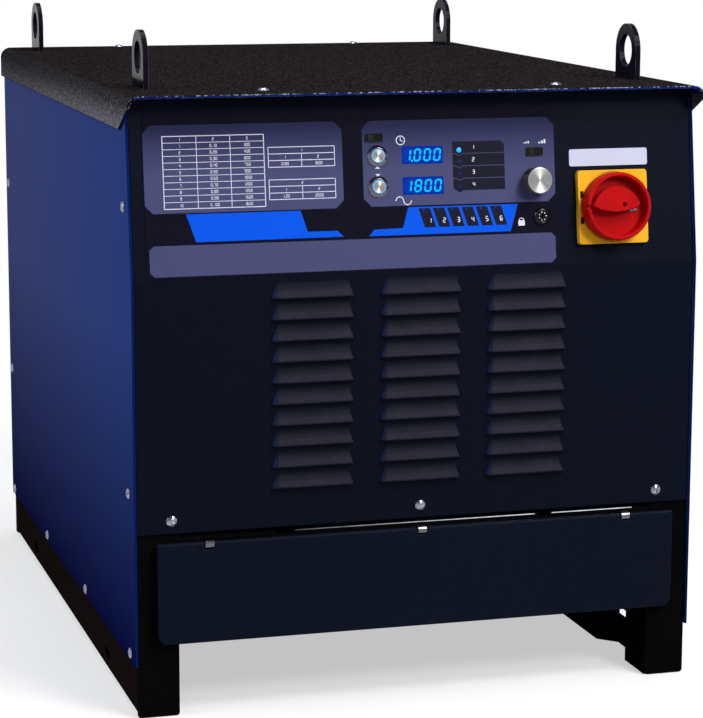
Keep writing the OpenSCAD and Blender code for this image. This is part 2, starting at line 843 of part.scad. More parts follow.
module lifting_eye_front_left() lifting_eye(-1, eye_front_y);
module lifting_eye_front_right() lifting_eye(1, eye_front_y);
module lifting_eye_rear_left() lifting_eye(-1, rear_mid_y);
module lifting_eye_rear_right() lifting_eye(1, rear_mid_y);

// Printed sheet over the left and middle of the leaning panel
module control_overlay() {
    on_lean() color([0.08, 0.08, 0.12]) linear_extrude(over_t) difference() {
        translate([over_left, over_u0]) square([over_right - over_left, over_u1 - over_u0]);
        control_cuts();
    }
}

// Display module: window in the panel's opening, flange behind it
module display(u) {
    flange = 3;
    on_lean(disp_x, u) color([0, 0.2, 0.65]) {
        translate([-disp_w / 2, -disp_h / 2, -panel_t]) cube([disp_w, disp_h, panel_t + over_t]);
        translate([-disp_w / 2 - flange, -disp_h / 2 - flange, -panel_t - disp_depth])
            cube([disp_w + 2 * flange, disp_h + 2 * flange, disp_depth]);
    }
}

module time_display() display(time_u);
module amps_display() display(amps_u);

// Push button bezel: domed flange, barrel through the panel and lock nut
module button_bezel(u) {
    nut_h = 4;
    on_lean(button_x, u) color("silver") difference() {
        union() {
            rotate_extrude() polygon([[0, over_t], [bezel_d / 2, over_t], [bezel_d / 2, over_t + bezel_h / 3],
                [barrel_d / 2, over_t + bezel_h], [0, over_t + bezel_h]]);
            translate([0, 0, -panel_t - 3 * nut_h])
                cylinder(d = barrel_d, h = panel_t + 3 * nut_h + over_t + over);
            translate([0, 0, -panel_t - nut_h]) cylinder(d = bezel_d + 1, h = nut_h, $fn = 6);
        }
        translate([0, 0, -panel_t - 2 * nut_h]) cylinder(d = cap_d, h = 4 * nut_h + panel_t);
    }
}

// Push button cap, which slides in its bezel
module button_cap(u) {
    cap_r = cap_d / 2 - 0.08;
    bevel = 1;
    dish = 0.6;
    foot_z = -panel_t - 2;
    top_z = over_t + bezel_h + 2.2;
    on_lean(button_x, u) color("gainsboro") rotate_extrude()
        polygon([[0, foot_z], [cap_r, foot_z], [cap_r, top_z - bevel], [cap_r - bevel, top_z],
            [0, top_z - dish]]);
}

module time_button_bezel() button_bezel(time_u);
module time_button_cap() button_cap(time_u);
module amps_button_bezel() button_bezel(amps_u);
module amps_button_cap() button_cap(amps_u);

// Rocker switch frame: rim on the panel, case behind it and a pivot pin across
module rocker_frame(x, u) {
    wall = rocker_rim / 2;
    rim_h = 1.6;
    rim_r = 1.2;
    low_z = -panel_t - rocker_case;
    on_lean(x, u) color([0.05, 0.05, 0.05]) {
        difference() {
            union() {
                translate([0, 0, over_t]) linear_extrude(rim_h) round_rect(rocker_w, rocker_h, rim_r);
                translate([-rocker_in_w / 2, -rocker_in_h / 2, low_z])
                    cube([rocker_in_w, rocker_in_h, over_t + over - low_z]);
            }
            translate([wall - rocker_in_w / 2, wall - rocker_in_h / 2, low_z + 2 * wall])
                cube([rocker_in_w - 2 * wall, rocker_in_h - 2 * wall, 2 * rocker_case]);
        }
        translate([0, 0, rocker_pivot_z]) rotate([90, 0, 0])
            cylinder(d = pivot_d, h = rocker_in_h - wall, center = true);
    }
}

// Rocker that tips left and right on its pivot pin, lying over at rest
module rocker(x, u) {
    pin_gap = 0.05;
    side_gap = 0.3;
    deep = 4;
    half = rocker_w / 2 - rocker_rim - side_gap;
    wide = rocker_h - 2 * rocker_rim - 2 * side_gap;
    rise = over_t + 2.6 - rocker_pivot_z;
    on_lean(x, u) color([0.1, 0.1, 0.1]) translate([0, 0, rocker_pivot_z]) rotate([0, -rocker_tilt, 0])
        rotate([90, 0, 0]) linear_extrude(wide, center = true) difference() {
            polygon([[1.2 - half, -deep], [half - 1.2, -deep], [half - 0.6, rise - 1], [half - 1.6, rise],
                [0, rise - 1.4], [1.6 - half, rise], [0.6 - half, rise - 1]]);
            circle(d = pivot_d + 2 * pin_gap);
        }
}

module mode_switch_frame() rocker_frame(rocker_a_x, rocker_a_u);
module mode_switch_rocker() rocker(rocker_a_x, rocker_a_u);
module range_switch_frame() rocker_frame(rocker_b_at, rocker_b_u);
module range_switch_rocker() rocker(rocker_b_at, rocker_b_u);

// Key lock: flange, body through the panel and lock nut
module key_lock_body() {
    on_lean(lock_at, lock_u) color([0.1, 0.1, 0.1]) difference() {
        union() {
            rotate_extrude() polygon([[0, over_t], [lock_d / 2, over_t], [lock_d / 2, over_t + lock_face / 2],
                [lock_d / 2 - lock_face / 2, over_t + lock_face], [0, over_t + lock_face]]);
            translate([0, 0, -panel_t - lock_deep])
                cylinder(d = lock_body_d, h = panel_t + lock_deep + over_t + over);
            translate([0, 0, -panel_t - lock_nut]) cylinder(d = lock_d + 2, h = lock_nut, $fn = 6);
        }
        translate([0, 0, -panel_t - lock_deep - over]) cylinder(d = lock_barrel, h = 2 * lock_deep);
    }
}

// Turning barrel with its key slot and, behind, the locking cam
module key_lock_barrel() {
    turn_gap = 0.08;
    recess = 0.6;
    slot_w = 1.8;
    slot_l = lock_barrel * 0.68;
    slot_deep = 8;
    cam_t = 2.6;
    cam_gap = 0.4;
    cam_z = -panel_t - lock_deep - cam_t - cam_gap;
    on_lean(lock_at, lock_u) color("silver") difference() {
        union() {
            translate([0, 0, cam_z])
                cylinder(d = lock_barrel - 2 * turn_gap, h = over_t + lock_face - recess - cam_z);
            translate([-lock_barrel * 0.4, -lock_barrel / 3, cam_z])
                cube([lock_barrel * 1.65, lock_barrel / 1.5, cam_t]);
        }
        translate([-slot_w / 2, -slot_l / 2, over_t + lock_face - slot_deep])
            cube([slot_w, slot_l, slot_deep]);
    }
}

// Encoder: case, threaded bush and nut
module encoder_body() {
    turn_gap = 0.05;
    nut_h = 2.4;
    nut_d = bush_d + 5;
    low_z = -panel_t - encoder_case;
    on_lean(dial_at, dial_u) color([0.25, 0.25, 0.28]) difference() {
        union() {
            translate([-encoder_w / 2, -encoder_w / 2, low_z]) cube([encoder_w, encoder_w, encoder_case]);
            translate([0, 0, -panel_t - over]) cylinder(d = bush_d, h = panel_t + over + bush_l);
            translate([0, 0, over_t]) cylinder(d = nut_d, h = nut_h, $fn = 6);
        }
        translate([0, 0, low_z - over])
            cylinder(d = dial_shaft + 2 * turn_gap, h = encoder_case + panel_t + bush_l + 2 * over);
        translate([0, 0, push_floor]) cylinder(d = push_d, h = push_t + dial_travel + 1);
    }
}

// Plate of the push switch that the shaft's end presses
module encoder_push_plate() {
    side_gap = 0.1;
    on_lean(dial_at, dial_u) color("goldenrod") translate([0, 0, push_z])
        cylinder(d = push_d - 2 * side_gap, h = push_t);
}

// Shaft from the push plate to the knob
module encoder_shaft() {
    foot = push_z + push_t;
    on_lean(dial_at, dial_u) color("silver") translate([0, 0, foot])
        cylinder(d = dial_shaft, h = shaft_top - foot);
}

// Turned knob with a fine grooved rim, hollow over the nut
module dial_knob() {
    r = dial_d / 2;
    low_z = over_t + dial_travel + 0.8;
    top_z = over_t + dial_l;
    bevel = 1.5;
    dish = 0.8;
    grooves = 5;
    groove_step = (dial_l - 8) / grooves;
    groove = [[0, 0.25], [-0.5, 0.5], [-0.5, 0.75], [0, 1]];
    on_lean(dial_at, dial_u) color("gainsboro") difference() {
        rotate_extrude() polygon(concat([[0, low_z], [r - 1, low_z], [r, low_z + 1]],
            [for (i = [0:grooves - 1], p = groove) [r + p[0], low_z + 1 + (i + p[1]) * groove_step]],
            [[r, top_z - bevel], [r - bevel, top_z], [r - 2 * bevel, top_z], [0, top_z - dish]]));
        translate([0, 0, -over]) cylinder(d = bush_d + 8, h = over + bush_l + 2);
        translate([0, 0, -over]) cylinder(d = dial_shaft, h = over + shaft_top);
    }
}

// Square plate of the isolator with a round seat for the handle and padlock slots
module isolator_plate() {
    seat = handle_d + 3;
    hub_gap = 0.08;
    slot = [4.6, 8, 6];
    slot_y = 15;
    slot_in = 2.2;
    on_lean(iso_at, iso_u) color([0.96, 0.74, 0.16]) difference() {
        linear_extrude(plate_t) round_rect(plate_w, plate_w, plate_r);
        translate([0, 0, plate_t - seat_deep]) cylinder(d = seat, h = 2 * seat_deep, $fn = 96);
        translate([0, 0, -over]) cylinder(d = hub_d + 2 * hub_gap, h = plate_t + 2 * over);
        for (y = [-1, 1])
            translate([slot_in - plate_w / 2, y * slot_y - slot[1] / 2, plate_t - slot[2] + over])
                cube(slot);
    }
}

// Rotary handle: a rimmed dish with a leaf-shaped grip standing in it
module isolator_handle() {
    r = handle_d / 2;
    rim_in = r - handle_rim;
    seat_z = plate_t - seat_deep + 0.5;
    floor_z = seat_z + handle_floor;
    top_z = plate_t + handle_h;
    grip_x = -3;
    grip_top_r = handle_d * 0.385;
    grip_low_r = handle_d * 0.76;
    notch_w = 5;
    notch_deep = 6;
    hole_d = 5;
    hole_deep = 12;
    on_lean(iso_at, iso_u) color([0.75, 0.06, 0.08]) difference() {
        union() {
            rotate_extrude($fn = 96) polygon([[0, seat_z], [r - 1, seat_z], [r, seat_z + 1], [r, top_z - 1.5],
                [r - 1.5, top_z], [rim_in, top_z], [rim_in - 2, floor_z], [0, floor_z]]);
            cylinder(d = hub_d, h = plate_t);
            translate([0, 0, seat_z + 1]) linear_extrude(top_z - seat_z - 2) intersection() {
                translate([grip_x, -grip_top_r / 4]) circle(grip_top_r, $fn = 96);
                translate([grip_x, grip_low_r * 0.9]) circle(grip_low_r, $fn = 96);
                circle(d = handle_d - 2);
            }
        }
        translate([-r - over, -notch_w / 2, top_z - notch_deep])
            cube([handle_rim + 3 + over, notch_w, notch_deep + over]);
        translate([handle_d / 12, 2, top_z - hole_deep]) cylinder(d = hole_d, h = hole_deep + over);
        translate([-iso_shaft / 2, -iso_shaft / 2, -over]) cube([iso_shaft, iso_shaft, plate_t + over + 2]);
    }
}

// Square shaft between the handle and the switch
module isolator_shaft() {
    foot = -panel_t - iso_depth + 6;
    on_lean(iso_at, iso_u) color("silver") translate([-iso_shaft / 2, -iso_shaft / 2, foot])
        cube([iso_shaft, iso_shaft, plate_t + 2 - foot]);
}

// Switch behind the panel, with its contact block and terminals
module isolator_switch() {
    terminals = 3;
    terminal = [10, 10, 20];
    step = iso_body / (terminals + 1);
    low_z = -panel_t - iso_depth;
    hub_room = 4;
    on_lean(iso_at, iso_u) color([0.2, 0.2, 0.2]) difference() {
        union() {
            translate([-iso_body / 2, -iso_body / 2, low_z]) cube([iso_body, iso_body, iso_depth]);
            for (i = [1:terminals], y = [-1, 1])
                translate([i * step - iso_body / 2, y * iso_body / 2, low_z + terminal[2] - 2])
                    cube(terminal, center = true);
        }
        translate([0, 0, low_z + 5]) cylinder(d = iso_shaft * 1.5, h = iso_depth);
        translate([0, 0, -panel_t - hub_room]) cylinder(d = hub_d + hub_room, h = hub_room + over);
    }
}

// Runs its children at the middle of each hinge clip, on the hinge line
module at_clips() {
    for (i = [-1:1]) translate([i * clip_at, -hinge_y, hinge_z]) children();
}

// Flap over the connector bay: round-cornered plate rolled round the hinge rod
module cable_flap() {
    hem_r = hem_d / 2;
    notch_gap = 0.5;
    home() color([0.09, 0.1, 0.13]) difference() {
        translate([0, -hinge_y, hinge_z]) union() {
            translate([0, flap_t - hem_r, 0]) rotate([90, 0, 0]) linear_extrude(flap_t) {
                translate([-flap_span / 2, flap_r - flap_h]) square([flap_span, flap_h - flap_r]);
                translate([flap_r - flap_span / 2, -flap_h]) square([flap_span - 2 * flap_r, flap_h]);
                for (x = [-1, 1]) translate([x * (flap_span / 2 - flap_r), flap_r - flap_h]) circle(flap_r);
            }
            rotate([0, 90, 0]) cylinder(r = hem_r, h = flap_span, center = true);
        }
        translate([0, -hinge_y, hinge_z]) rotate([0, 90, 0])
            cylinder(d = rod_d + 2 * rod_gap, h = flap_span + 2 * over, center = true);
        at_clips() cube([clip_w + 2 * notch_gap, 2 * clip_d, clip_d + 2 * notch_gap], center = true);
    }
}

// Rolled hinge clips, each with a leaf on the cross member
module flap_hinge_clips() {
    leaf_h = 26;
    reach = hinge_y + panel_t;
    home() color("silver") at_clips() across(-clip_w / 2, clip_w / 2) difference() {
        union() {
            circle(d = clip_d);
            translate([0, clip_d / 2 - clip_t]) square([reach, clip_t]);
            translate([reach - clip_t, clip_d / 2 - leaf_h]) square([clip_t, leaf_h]);
        }
        circle(d = rod_d);
    }
}

// Hinge rod through the flap's rolled edge and the clips
module flap_hinge_rod() {
    home() color("silver") translate([0, -hinge_y, hinge_z]) rotate([0, 90, 0])
        cylinder(d = rod_d, h = flap_span, center = true);
}

// Plate at the back of the connector bay
module connector_panel() {
    half_bay = leg_in - deck_gap;
    home() color([0.15, 0.15, 0.17]) difference() {
        translate([-half_bay, bay_y, deck_z]) cube([2 * half_bay, bay_t, cross_z - deck_z]);
        for (x = [-1, 0, 1]) translate([x * socket_x, bay_y, socket_z]) rotate([90, 0, 0])
            cylinder(d = (x == 0 ? plug_d : socket_body_d) + 2 * cut_gap, h = 6 * bay_t, center = true);
    }
}

// Weld cable socket: insulating flange and shroud round a bored brass contact
module weld_socket(x) {
    flange_h = 5;
    shroud_d = socket_d - 12;
    key = [3.6, socket_bore / 2 + 3.5, 8];
    home() color([0.12, 0.12, 0.12]) translate([x, bay_y, socket_z]) rotate([90, 0, 0]) difference() {
        union() {
            cylinder(d = socket_d, h = flange_h);
            cylinder(d = shroud_d, h = shroud_l);
            translate([0, 0, -socket_body_l]) cylinder(d = socket_body_d, h = socket_body_l + over);
            translate([0, 0, -socket_stud_l]) cylinder(d = socket_stud_d, h = socket_stud_l);
        }
        translate([0, 0, shroud_l - socket_deep]) cylinder(d = socket_bore, h = socket_deep + over);
        translate([-key[0] / 2, 0, shroud_l - key[2]]) cube([key[0], key[1], key[2] + over]);
    }
}

module weld_socket_gun() weld_socket(-socket_x);
module weld_socket_ground() weld_socket(socket_x);

// Round socket for the gun's control lead, with four contact holes
module control_socket() {
    pin_r = plug_d * 0.22;
    pin_d = 3;
    flange_w = plug_d * 1.4;
    flange_h = 3;
    shell_h = 16;
    well_z = 6;
    core_d = plug_d - 9;
    core_top = 14;
    body_l = bay_t + 14;
    home() color("gray") translate([0, bay_y, socket_z]) rotate([90, 0, 0]) difference() {
        union() {
            translate([-flange_w / 2, -flange_w / 2, 0]) cube([flange_w, flange_w, flange_h]);
            cylinder(d = plug_d, h = shell_h);
            translate([0, 0, -body_l]) cylinder(d = plug_d, h = body_l + over);
        }
        translate([0, 0, well_z]) difference() {
            cylinder(d = plug_d - 4, h = shell_h - well_z + over);
            translate([0, 0, -over]) cylinder(d = core_d, h = core_top - well_z + over);
        }
        for (a = [45:90:315]) rotate([0, 0, a]) translate([pin_r, 0, well_z - 2])
            cylinder(d = pin_d, h = shell_h);
    }
}

module lid_screws() {
    home() color("silver") at_lid_screws() pan_screw();
}

module side_screws() {
    home() color("silver") for (side = [-1, 1]) sided(side) at_side_screws() pan_screw();
}

module panel_screws() {
    home() color("silver") {
        at_front_screws() pan_screw();
        at_rear_screws() pan_screw();
    }
}

// Three-limb laminated core on its mounting feet
module transformer_core() {
    home() color("dimgray") translate([0, core_y, deck_z]) {
        along(-core_d / 2, core_d / 2) translate([-core_w / 2, foot_h]) difference() {
            square([core_w, core_h]);
            for (i = [0, 1]) translate([limb_w + i * (limb_w + window_w), limb_w])
                square([window_w, core_h - 2 * limb_w]);
        }
        for (x = [-core_w / 2, core_w / 2 - limb_w])
            translate([x, -core_d / 2, 0]) cube([limb_w, core_d, foot_h]);
    }
}

// One winding on each limb
module transformer_coils() {
    coil_r = 12;
    home() color("peru") translate([0, core_y, deck_z + foot_h + limb_w])
        for (i = [-1:1]) translate([i * (limb_w + window_w), 0, 0])
            linear_extrude(core_h - 2 * limb_w) difference() {
                round_rect(limb_w + 2 * coil_w, core_d + 2 * coil_w, coil_r);
                square([limb_w, core_d], center = true);
            }
}

// Finned heat sink of the rectifier, standing on the deck
module rectifier_heatsink() {
    fin_t = 4;
    step = (sink_w - fin_t) / (sink_fins - 1);
    home() color("silver") translate([sink_x, 0, deck_z])
        along(sink_y - sink_l / 2, sink_y + sink_l / 2) translate([-sink_w / 2, 0]) {
            translate([0, sink_h - sink_base]) square([sink_w, sink_base]);
            for (i = [0:sink_fins - 1]) translate([i * step, 0]) square([fin_t, sink_h]);
        }
}

// Thyristor modules on the heat sink, with their stud terminals
module rectifier_modules() {
    count = 3;
    step = sink_l / count;
    case = [92, 40, 30];
    stud_d = 14;
    stud_h = 6;
    home() color([0.15, 0.15, 0.15]) for (i = [0:count - 1])
        translate([sink_x, sink_y + (i - (count - 1) / 2) * step, deck_z + sink_h]) {
            translate([-case[0] / 2, -case[1] / 2, 0]) cube(case);
            for (x = [-1:1]) translate([x * 2 * stud_d, 0, case[2] - over])
                cylinder(d = stud_d, h = stud_h + over);
        }
}

// Output choke: a closed core with a winding on its middle
module output_choke() {
    depth = 90;
    bar = 40;
    coil_d = depth + 40;
    coil_r = 10;
    home() color([0.35, 0.25, 0.15]) translate([choke_x, sink_y, deck_z]) {
        along(-depth / 2, depth / 2) translate([-choke_w / 2, 0]) difference() {
            square([choke_w, choke_h]);
            translate([bar, bar]) square([choke_w - 2 * bar, choke_h - 2 * bar]);
        }
        translate([0, 0, choke_h / 2]) linear_extrude(choke_h - 2 * bar, center = true)
            round_rect(choke_w - 2 * bar, coil_d, coil_r);
    }
}

// Fan frame: a plate on the deck with a round opening and arms to the motor
module fan_frame() {
    side = fan_d * 1.24;
    arm_w = 16;
    home() color("dimgray") translate([0, fan_face, fan_mid_z]) rotate([90, 0, 0]) linear_extrude(fan_plate) {
        difference() {
            translate([-side / 2, deck_z - fan_mid_z]) square([side, side / 2 + fan_mid_z - deck_z]);
            circle(d = fan_d + 2 * fan_gap, $fn = 96);
        }
        difference() {
            for (a = [45, 135]) rotate(a) square([fan_d + 4 * fan_gap, arm_w], center = true);
            circle(d = motor_d / 2);
        }
    }
}

// Fan motor on the frame's arms, its shaft pointing to the rear
module fan_motor() {
    home() color([0.2, 0.2, 0.22]) translate([0, fan_face - fan_plate, fan_mid_z]) rotate([90, 0, 0]) {
        cylinder(d = motor_d, h = motor_l);
        translate([0, 0, -motor_reach]) cylinder(d = motor_shaft, h = motor_reach + over);
    }
}

// Fan rotor with pitched blades
module fan_rotor() {
    hub = 60;
    hub_l = 34;
    pitch = 28;
    blade_t = 2.5;
    blade_w = 56;
    run_gap = 0.05;
    stand_off = 6;
    home() color([0.12, 0.12, 0.13]) translate([0, fan_face + stand_off, fan_mid_z]) rotate([-90, 0, 0])
        difference() {
            union() {
                cylinder(d = hub, h = hub_l);
                intersection() {
                    cylinder(d = fan_d, h = hub_l, $fn = 96);
                    for (i = [0:fan_blades - 1]) rotate([0, 0, i * 360 / fan_blades])
                        translate([fan_d / 4, 0, hub_l / 2]) rotate([pitch, 0, 0])
                            cube([fan_d / 2, blade_w, blade_t], center = true);
                }
            }
            translate([0, 0, -over]) cylinder(d = motor_shaft + 2 * run_gap, h = hub_l + 2 * over);
        }
}

// Control board on stand-offs behind the displays
module control_board() {
    board_w = 300;
    board_h = 140;
    board_t = 1.6;
    mid_x = iso_at - iso_body / 2 - board_gap - board_w / 2;
    mid_u = 105;
    post_d = 8;
    chip = [24, 34, 10];
    low_z = -panel_t - board_back;
    on_lean(mid_x, mid_u) color("darkgreen") {
        translate([-board_w / 2, -board_h / 2, low_z]) cube([board_w, board_h, board_t]);
        for (x = [-1, 1], y = [-1, 1])
            translate([x * (board_w / 2 - post_d), y * (board_h / 2 - post_d), low_z])
                cylinder(d = post_d, h = board_back);
        for (i = [-2:2])
            translate([(2 * i - 0.5) * chip[0], -chip[1] / 2, low_z - chip[2] + over]) cube(chip);
    }
}

// Mains cable gland: body through the rear panel, lock nut inside and domed cap nut
module cable_gland() {
    nut_d = gland_bore + 24;
    nut_h = 7;
    cap_r = gland_thread / 2 + 2;
    thread_l = panel_t + 14;
    on_rear(gland_at, gland_z) color([0.15, 0.15, 0.15]) difference() {
        union() {
            cylinder(d = nut_d, h = gland_l * 0.35, $fn = 6);
            rotate_extrude()
                polygon([[0, 0], [cap_r, 0], [cap_r, gland_l * 0.75], [cap_r - 4, gland_l], [0, gland_l]]);
            translate([0, 0, -thread_l]) cylinder(d = gland_thread, h = thread_l + over);
            translate([0, 0, -panel_t - nut_h]) cylinder(d = nut_d, h = nut_h, $fn = 6);
        }
        translate([0, 0, -thread_l - over]) cylinder(d = gland_bore, h = gland_l + thread_l + 2 * over);
    }
}

base_runner_left();
base_runner_right();
floor_deck();
front_post_left();
front_post_right();
rear_post_left();
rear_post_right();
top_rail_left();
top_rail_right();
front_cross_member();
side_panel_left();
side_panel_right();
lid();
front_panel();
rear_panel();
lifting_eye_front_left();
lifting_eye_front_right();
lifting_eye_rear_left();
lifting_eye_rear_right();
control_overlay();
time_display();
amps_display();
time_button_bezel();
time_button_cap();
amps_button_bezel();
amps_button_cap();
mode_switch_frame();
mode_switch_rocker();
range_switch_frame();
range_switch_rocker();
key_lock_body();
key_lock_barrel();
encoder_body();
encoder_push_plate();
encoder_shaft();
dial_knob();
isolator_plate();
isolator_handle();
isolator_shaft();
isolator_switch();
cable_flap();
flap_hinge_clips();
flap_hinge_rod();
connector_panel();
weld_socket_gun();
weld_socket_ground();
control_socket();
lid_screws();
side_screws();
panel_screws();
transformer_core();
transformer_coils();
rectifier_heatsink();
rectifier_modules();
output_choke();
fan_frame();
fan_motor();
fan_rotor();
control_board();
cable_gland();
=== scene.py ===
import json
import math

import bmesh
import bpy
from mathutils import Matrix, Vector


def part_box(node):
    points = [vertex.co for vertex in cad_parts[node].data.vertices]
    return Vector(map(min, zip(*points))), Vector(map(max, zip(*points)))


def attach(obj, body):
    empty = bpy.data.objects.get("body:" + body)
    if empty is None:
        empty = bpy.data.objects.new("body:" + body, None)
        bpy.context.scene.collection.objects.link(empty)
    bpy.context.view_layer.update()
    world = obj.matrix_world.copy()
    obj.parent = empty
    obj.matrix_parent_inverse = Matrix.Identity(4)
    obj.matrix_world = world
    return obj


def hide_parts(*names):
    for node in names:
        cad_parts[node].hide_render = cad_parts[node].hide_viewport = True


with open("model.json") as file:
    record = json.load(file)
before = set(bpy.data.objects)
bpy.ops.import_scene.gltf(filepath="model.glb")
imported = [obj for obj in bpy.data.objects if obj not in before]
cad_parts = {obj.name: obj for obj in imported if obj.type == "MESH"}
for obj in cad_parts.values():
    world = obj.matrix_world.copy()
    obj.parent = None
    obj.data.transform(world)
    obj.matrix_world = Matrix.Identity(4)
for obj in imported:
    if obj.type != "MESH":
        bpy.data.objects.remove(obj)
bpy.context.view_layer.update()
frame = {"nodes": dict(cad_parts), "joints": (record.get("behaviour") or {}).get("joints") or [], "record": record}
nodes = frame["nodes"]
joints = {joint["name"]: joint for joint in frame["joints"]}

# Leaning control panel: height of its bend, sheet, front face at the bend and lean, in metres and radians
BEND_Z, PANEL_SHEET = 0.507, 0.002
CROSS_Y = round(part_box("front_cross_member")[0].y, 6)
FRONT_Y = CROSS_Y - PANEL_SHEET
TILT = math.radians(round(math.degrees(math.asin(joints["dial_turn"]["axis"][2])), 2))
SIN, COS = math.sin(TILT), math.cos(TILT)

# Foot of the lid's front edge, which shows the thickness of its sheet
LID_SHEET = 0.003
LID_EDGE_Z = round(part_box("lid")[1].z - LID_SHEET, 6)


def lean(x, u, z):
    """A point on the leaning panel: x right, u up the panel, z out of its face, in millimetres."""
    return Vector((x, u * SIN - z * COS, u * COS + z * SIN)) / 1000 + Vector((0, FRONT_Y, BEND_Z))


def lean_matrix(x, u):
    """The frame of a round piece on the leaning panel, with Z out of the panel."""
    m = Matrix(((1, 0, 0), (0, SIN, -COS), (0, COS, SIN))).to_4x4()
    m.translation = lean(x, u, 0)
    return m


def on_panel(point):
    """The x, u and z on the leaning panel of a point of the frame, in millimetres."""
    y, z = point[1] - FRONT_Y, point[2] - BEND_Z
    return point[0] * 1000, (y * SIN + z * COS) * 1000, (z * SIN - y * COS) * 1000


def panel_box(node):
    """The least and most x, u and z of a CAD node on the leaning panel, in millimetres."""
    rows = [on_panel(v.co) for v in nodes[node].data.vertices]
    return [(round(min(c), 2), round(max(c), 2)) for c in zip(*rows)]


def joint_place(name):
    """The x and u of a joint's axis on the leaning panel, in millimetres."""
    x, u, _ = on_panel(joints[name]["pos_m"])
    return round(x, 2), round(u, 2)


def middle(span):
    return (span[0] + span[1]) / 2


# Controls on the panel, from the CAD, in millimetres
FILM = panel_box("control_overlay")[2][1]
TIME_BOX, AMPS_BOX = panel_box("time_display"), panel_box("amps_display")
DISPLAY_X, TIME_U, AMPS_U = middle(TIME_BOX[0]), middle(TIME_BOX[1]), middle(AMPS_BOX[1])
BUTTON_X, CAP_TOP = middle(panel_box("time_button_bezel")[0]), panel_box("time_button_cap")[2][1]
DIAL_X, DIAL_U = joint_place("dial_turn")
DIAL_BOX = panel_box("dial_knob")
DIAL_R, DIAL_TOP = DIAL_BOX[0][1] - DIAL_X, DIAL_BOX[2][1]
LOCK_X, LOCK_U = joint_place("key_lock_turn")
LOCK_FACE = panel_box("key_lock_body")[2][1]
ISOLATOR_X, ISOLATOR_U = joint_place("isolator_turn")
ISOLATOR_PLATE = panel_box("isolator_plate")


# Material helpers

# Depths of surface grain, in metres
PAINT_GRAIN, SKIN_GRAIN, PRINT_GRAIN, LATHE_GRAIN, LID_GRAIN = 0.0004, 0.0002, 0.0001, 0.00005, 0.0008


def scaled(colour, factor, plus=0.0):
    return tuple(min(1, c * factor + plus) for c in colour)


